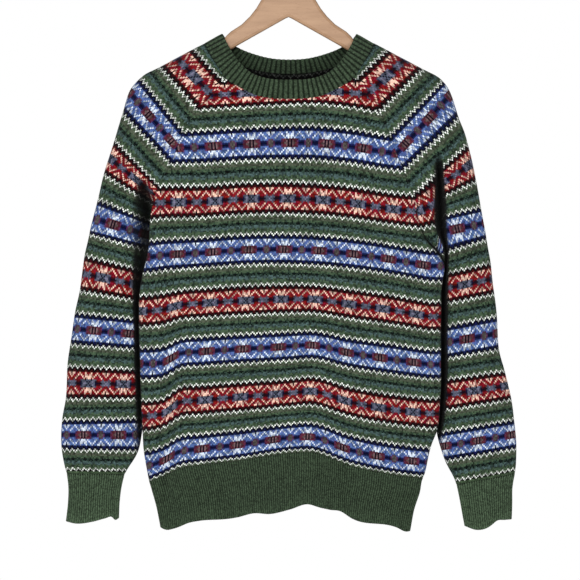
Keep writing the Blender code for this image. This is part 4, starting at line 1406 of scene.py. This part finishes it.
def cuff_rib(name, rings, droops, material):
    rows = []
    angle = np.linspace(0, 2 * math.pi, FINE + 1)
    across = ((1 - np.cos(angle)) / 2)[:, None]
    courses = (rings[0].course, rings[-1].course)
    droop = look_up(droops, across[:, 0]).drop
    for course in np.linspace(*courses, CUFF_RIB.rows):
        ring = look_up(rings, course)
        points = mix(*ring_ends(ring), across)
        points[:, 1] = ring.behind - ring.depth * np.sin(angle)
        points[:, 2] -= droop * ease(course, CUFF_START_DROOP, courses[1])
        rows.append(resample(points, CUFF_RIB.points * CUFF_RIB.count))
    base = np.stack(rows)
    normals = normals_of(base, 0, np.array([0, -1, 0]))
    return ribbed_cloth(name, base, normals, CUFF_RIB, courses, True, material)


def neck_band(name, material):
    turns = np.linspace(0, NECK_TURN, FINE + 1)
    along = distances(neck_ring(turns, "seam"))
    places = np.linspace(0, along[-1], NECK_RIB.points * NECK_RIB.count + 1)
    even = np.interp(places, along, turns)
    foot, crown = neck_ring(even, "seam"), neck_ring(even, "top")
    band = crown - foot
    band /= np.linalg.norm(band, axis=1, keepdims=True)
    shares = np.linspace(0, 1, NECK_RIB.rows)
    base = np.stack([mix(foot + SEAM_GAP * band, crown, share) for share in shares])
    normals = normals_of(base, 0, np.array([0, -1, 0]))
    return ribbed_cloth(name, base, normals, NECK_RIB, NECK_COURSES, True, material)


def show_with(node, material):
    """Give a node of the model its finish."""
    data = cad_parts[node].data
    data.materials.clear()
    data.materials.append(material)


def light(lamp, aim):
    data = bpy.data.lights.new(lamp.name, "AREA")
    data.size = lamp.size
    data.energy = lamp.power
    rig = placed(lamp.name, data, lamp.place)
    rig.rotation_euler = (aim.location - rig.location).to_track_quat("-Z", "Y").to_euler()


def floor():
    """A pale paper floor."""
    mesh = bpy.data.meshes.new("floor")
    ends = (-FLOOR_HALF, FLOOR_HALF)
    mesh.from_pydata([(x, y, FLOOR_HEIGHT) for y in ends for x in ends], [], [(0, 1, 3, 2)])
    paper = Nodes("floor_paper")
    speck = paper.noise(paper.add("ShaderNodeTexCoord").outputs["Object"], 40.0)
    white = paper.ramp(speck, [(0.0, PAPER_DULL), (1.0, PAPER_WHITE)], "LINEAR")
    mesh.materials.append(paper.finish(white, 0.9))
    placed("floor", mesh)


def surroundings():
    """White to the camera, and dimmer as a light."""
    world = bpy.data.worlds.new("studio")
    world.use_nodes = True
    tree = world.node_tree
    background = tree.nodes["Background"]
    background.inputs["Color"].default_value = (1.0, 1.0, 1.0, 1.0)
    path = tree.nodes.new("ShaderNodeLightPath")
    strength = tree.nodes.new("ShaderNodeMapRange")
    strength.inputs["To Min"].default_value = AMBIENT
    strength.inputs["To Max"].default_value = 1.0
    tree.links.new(path.outputs["Is Camera Ray"], strength.inputs["Value"])
    tree.links.new(strength.outputs["Result"], background.inputs["Strength"])
    bpy.context.scene.world = world


def studio():
    """Floor, surroundings, soft lights and the photograph's camera."""
    scene = bpy.context.scene
    scene.view_settings.view_transform = "Standard"
    floor()
    surroundings()
    middle = PHOTO_SIDE / 2
    centre_x = (middle - ORIGIN_COLUMN) * PIXEL * MILLIMETRE
    centre_z = (TOP_HEIGHT - middle * PIXEL) * MILLIMETRE
    aim = placed("aim", None, (centre_x, 0.0, centre_z))
    for lamp in LAMPS:
        light(lamp, aim)
    lens = bpy.data.cameras.new("camera")
    lens.sensor_width = SENSOR
    lens.lens = SENSOR * CAMERA_DISTANCE / (PHOTO_SIDE * PIXEL * MILLIMETRE)
    camera = placed("camera", lens, (centre_x, CAMERA_FOCUS_Y - CAMERA_DISTANCE, centre_z))
    camera.rotation_euler = (math.pi / 2, 0.0, 0.0)
    scene.camera = camera


def main():
    knit = [fair_isle("fair_isle", False), fair_isle("fair_isle_reverse", True)]
    hem_knit, cuff_knit, neck_knit = (green_rib(look) for look in (HEM_LOOK, CUFF_LOOK, NECK_LOOK))
    left = (LEFT_CAP, LEFT_TUBE, LEFT_GROOVE, LEFT_CROWN)
    right = (RIGHT_CAP, RIGHT_TUBE, RIGHT_GROOVE, RIGHT_CROWN)
    declare(body_panel("front_knitting", -1, knit))
    declare(body_panel("back_knitting", 1, knit))
    declare(sleeve("left_sleeve_knitting", -1, *left, knit))
    declare(sleeve("right_sleeve_knitting", 1, *right, knit))
    declare(neck_band("neckband", neck_knit))
    declare(hem_rib("front_hem_rib", -1, hem_knit))
    declare(hem_rib("back_hem_rib", 1, hem_knit))
    declare(cuff_rib("left_cuff_rib", LEFT_CUFF, LEFT_CUFF_DROOP, cuff_knit))
    declare(cuff_rib("right_cuff_rib", RIGHT_CUFF, RIGHT_CUFF_DROOP, cuff_knit))
    show_with("hanger", beech())
    show_with("hanger_hook", steel())
    studio()


main()
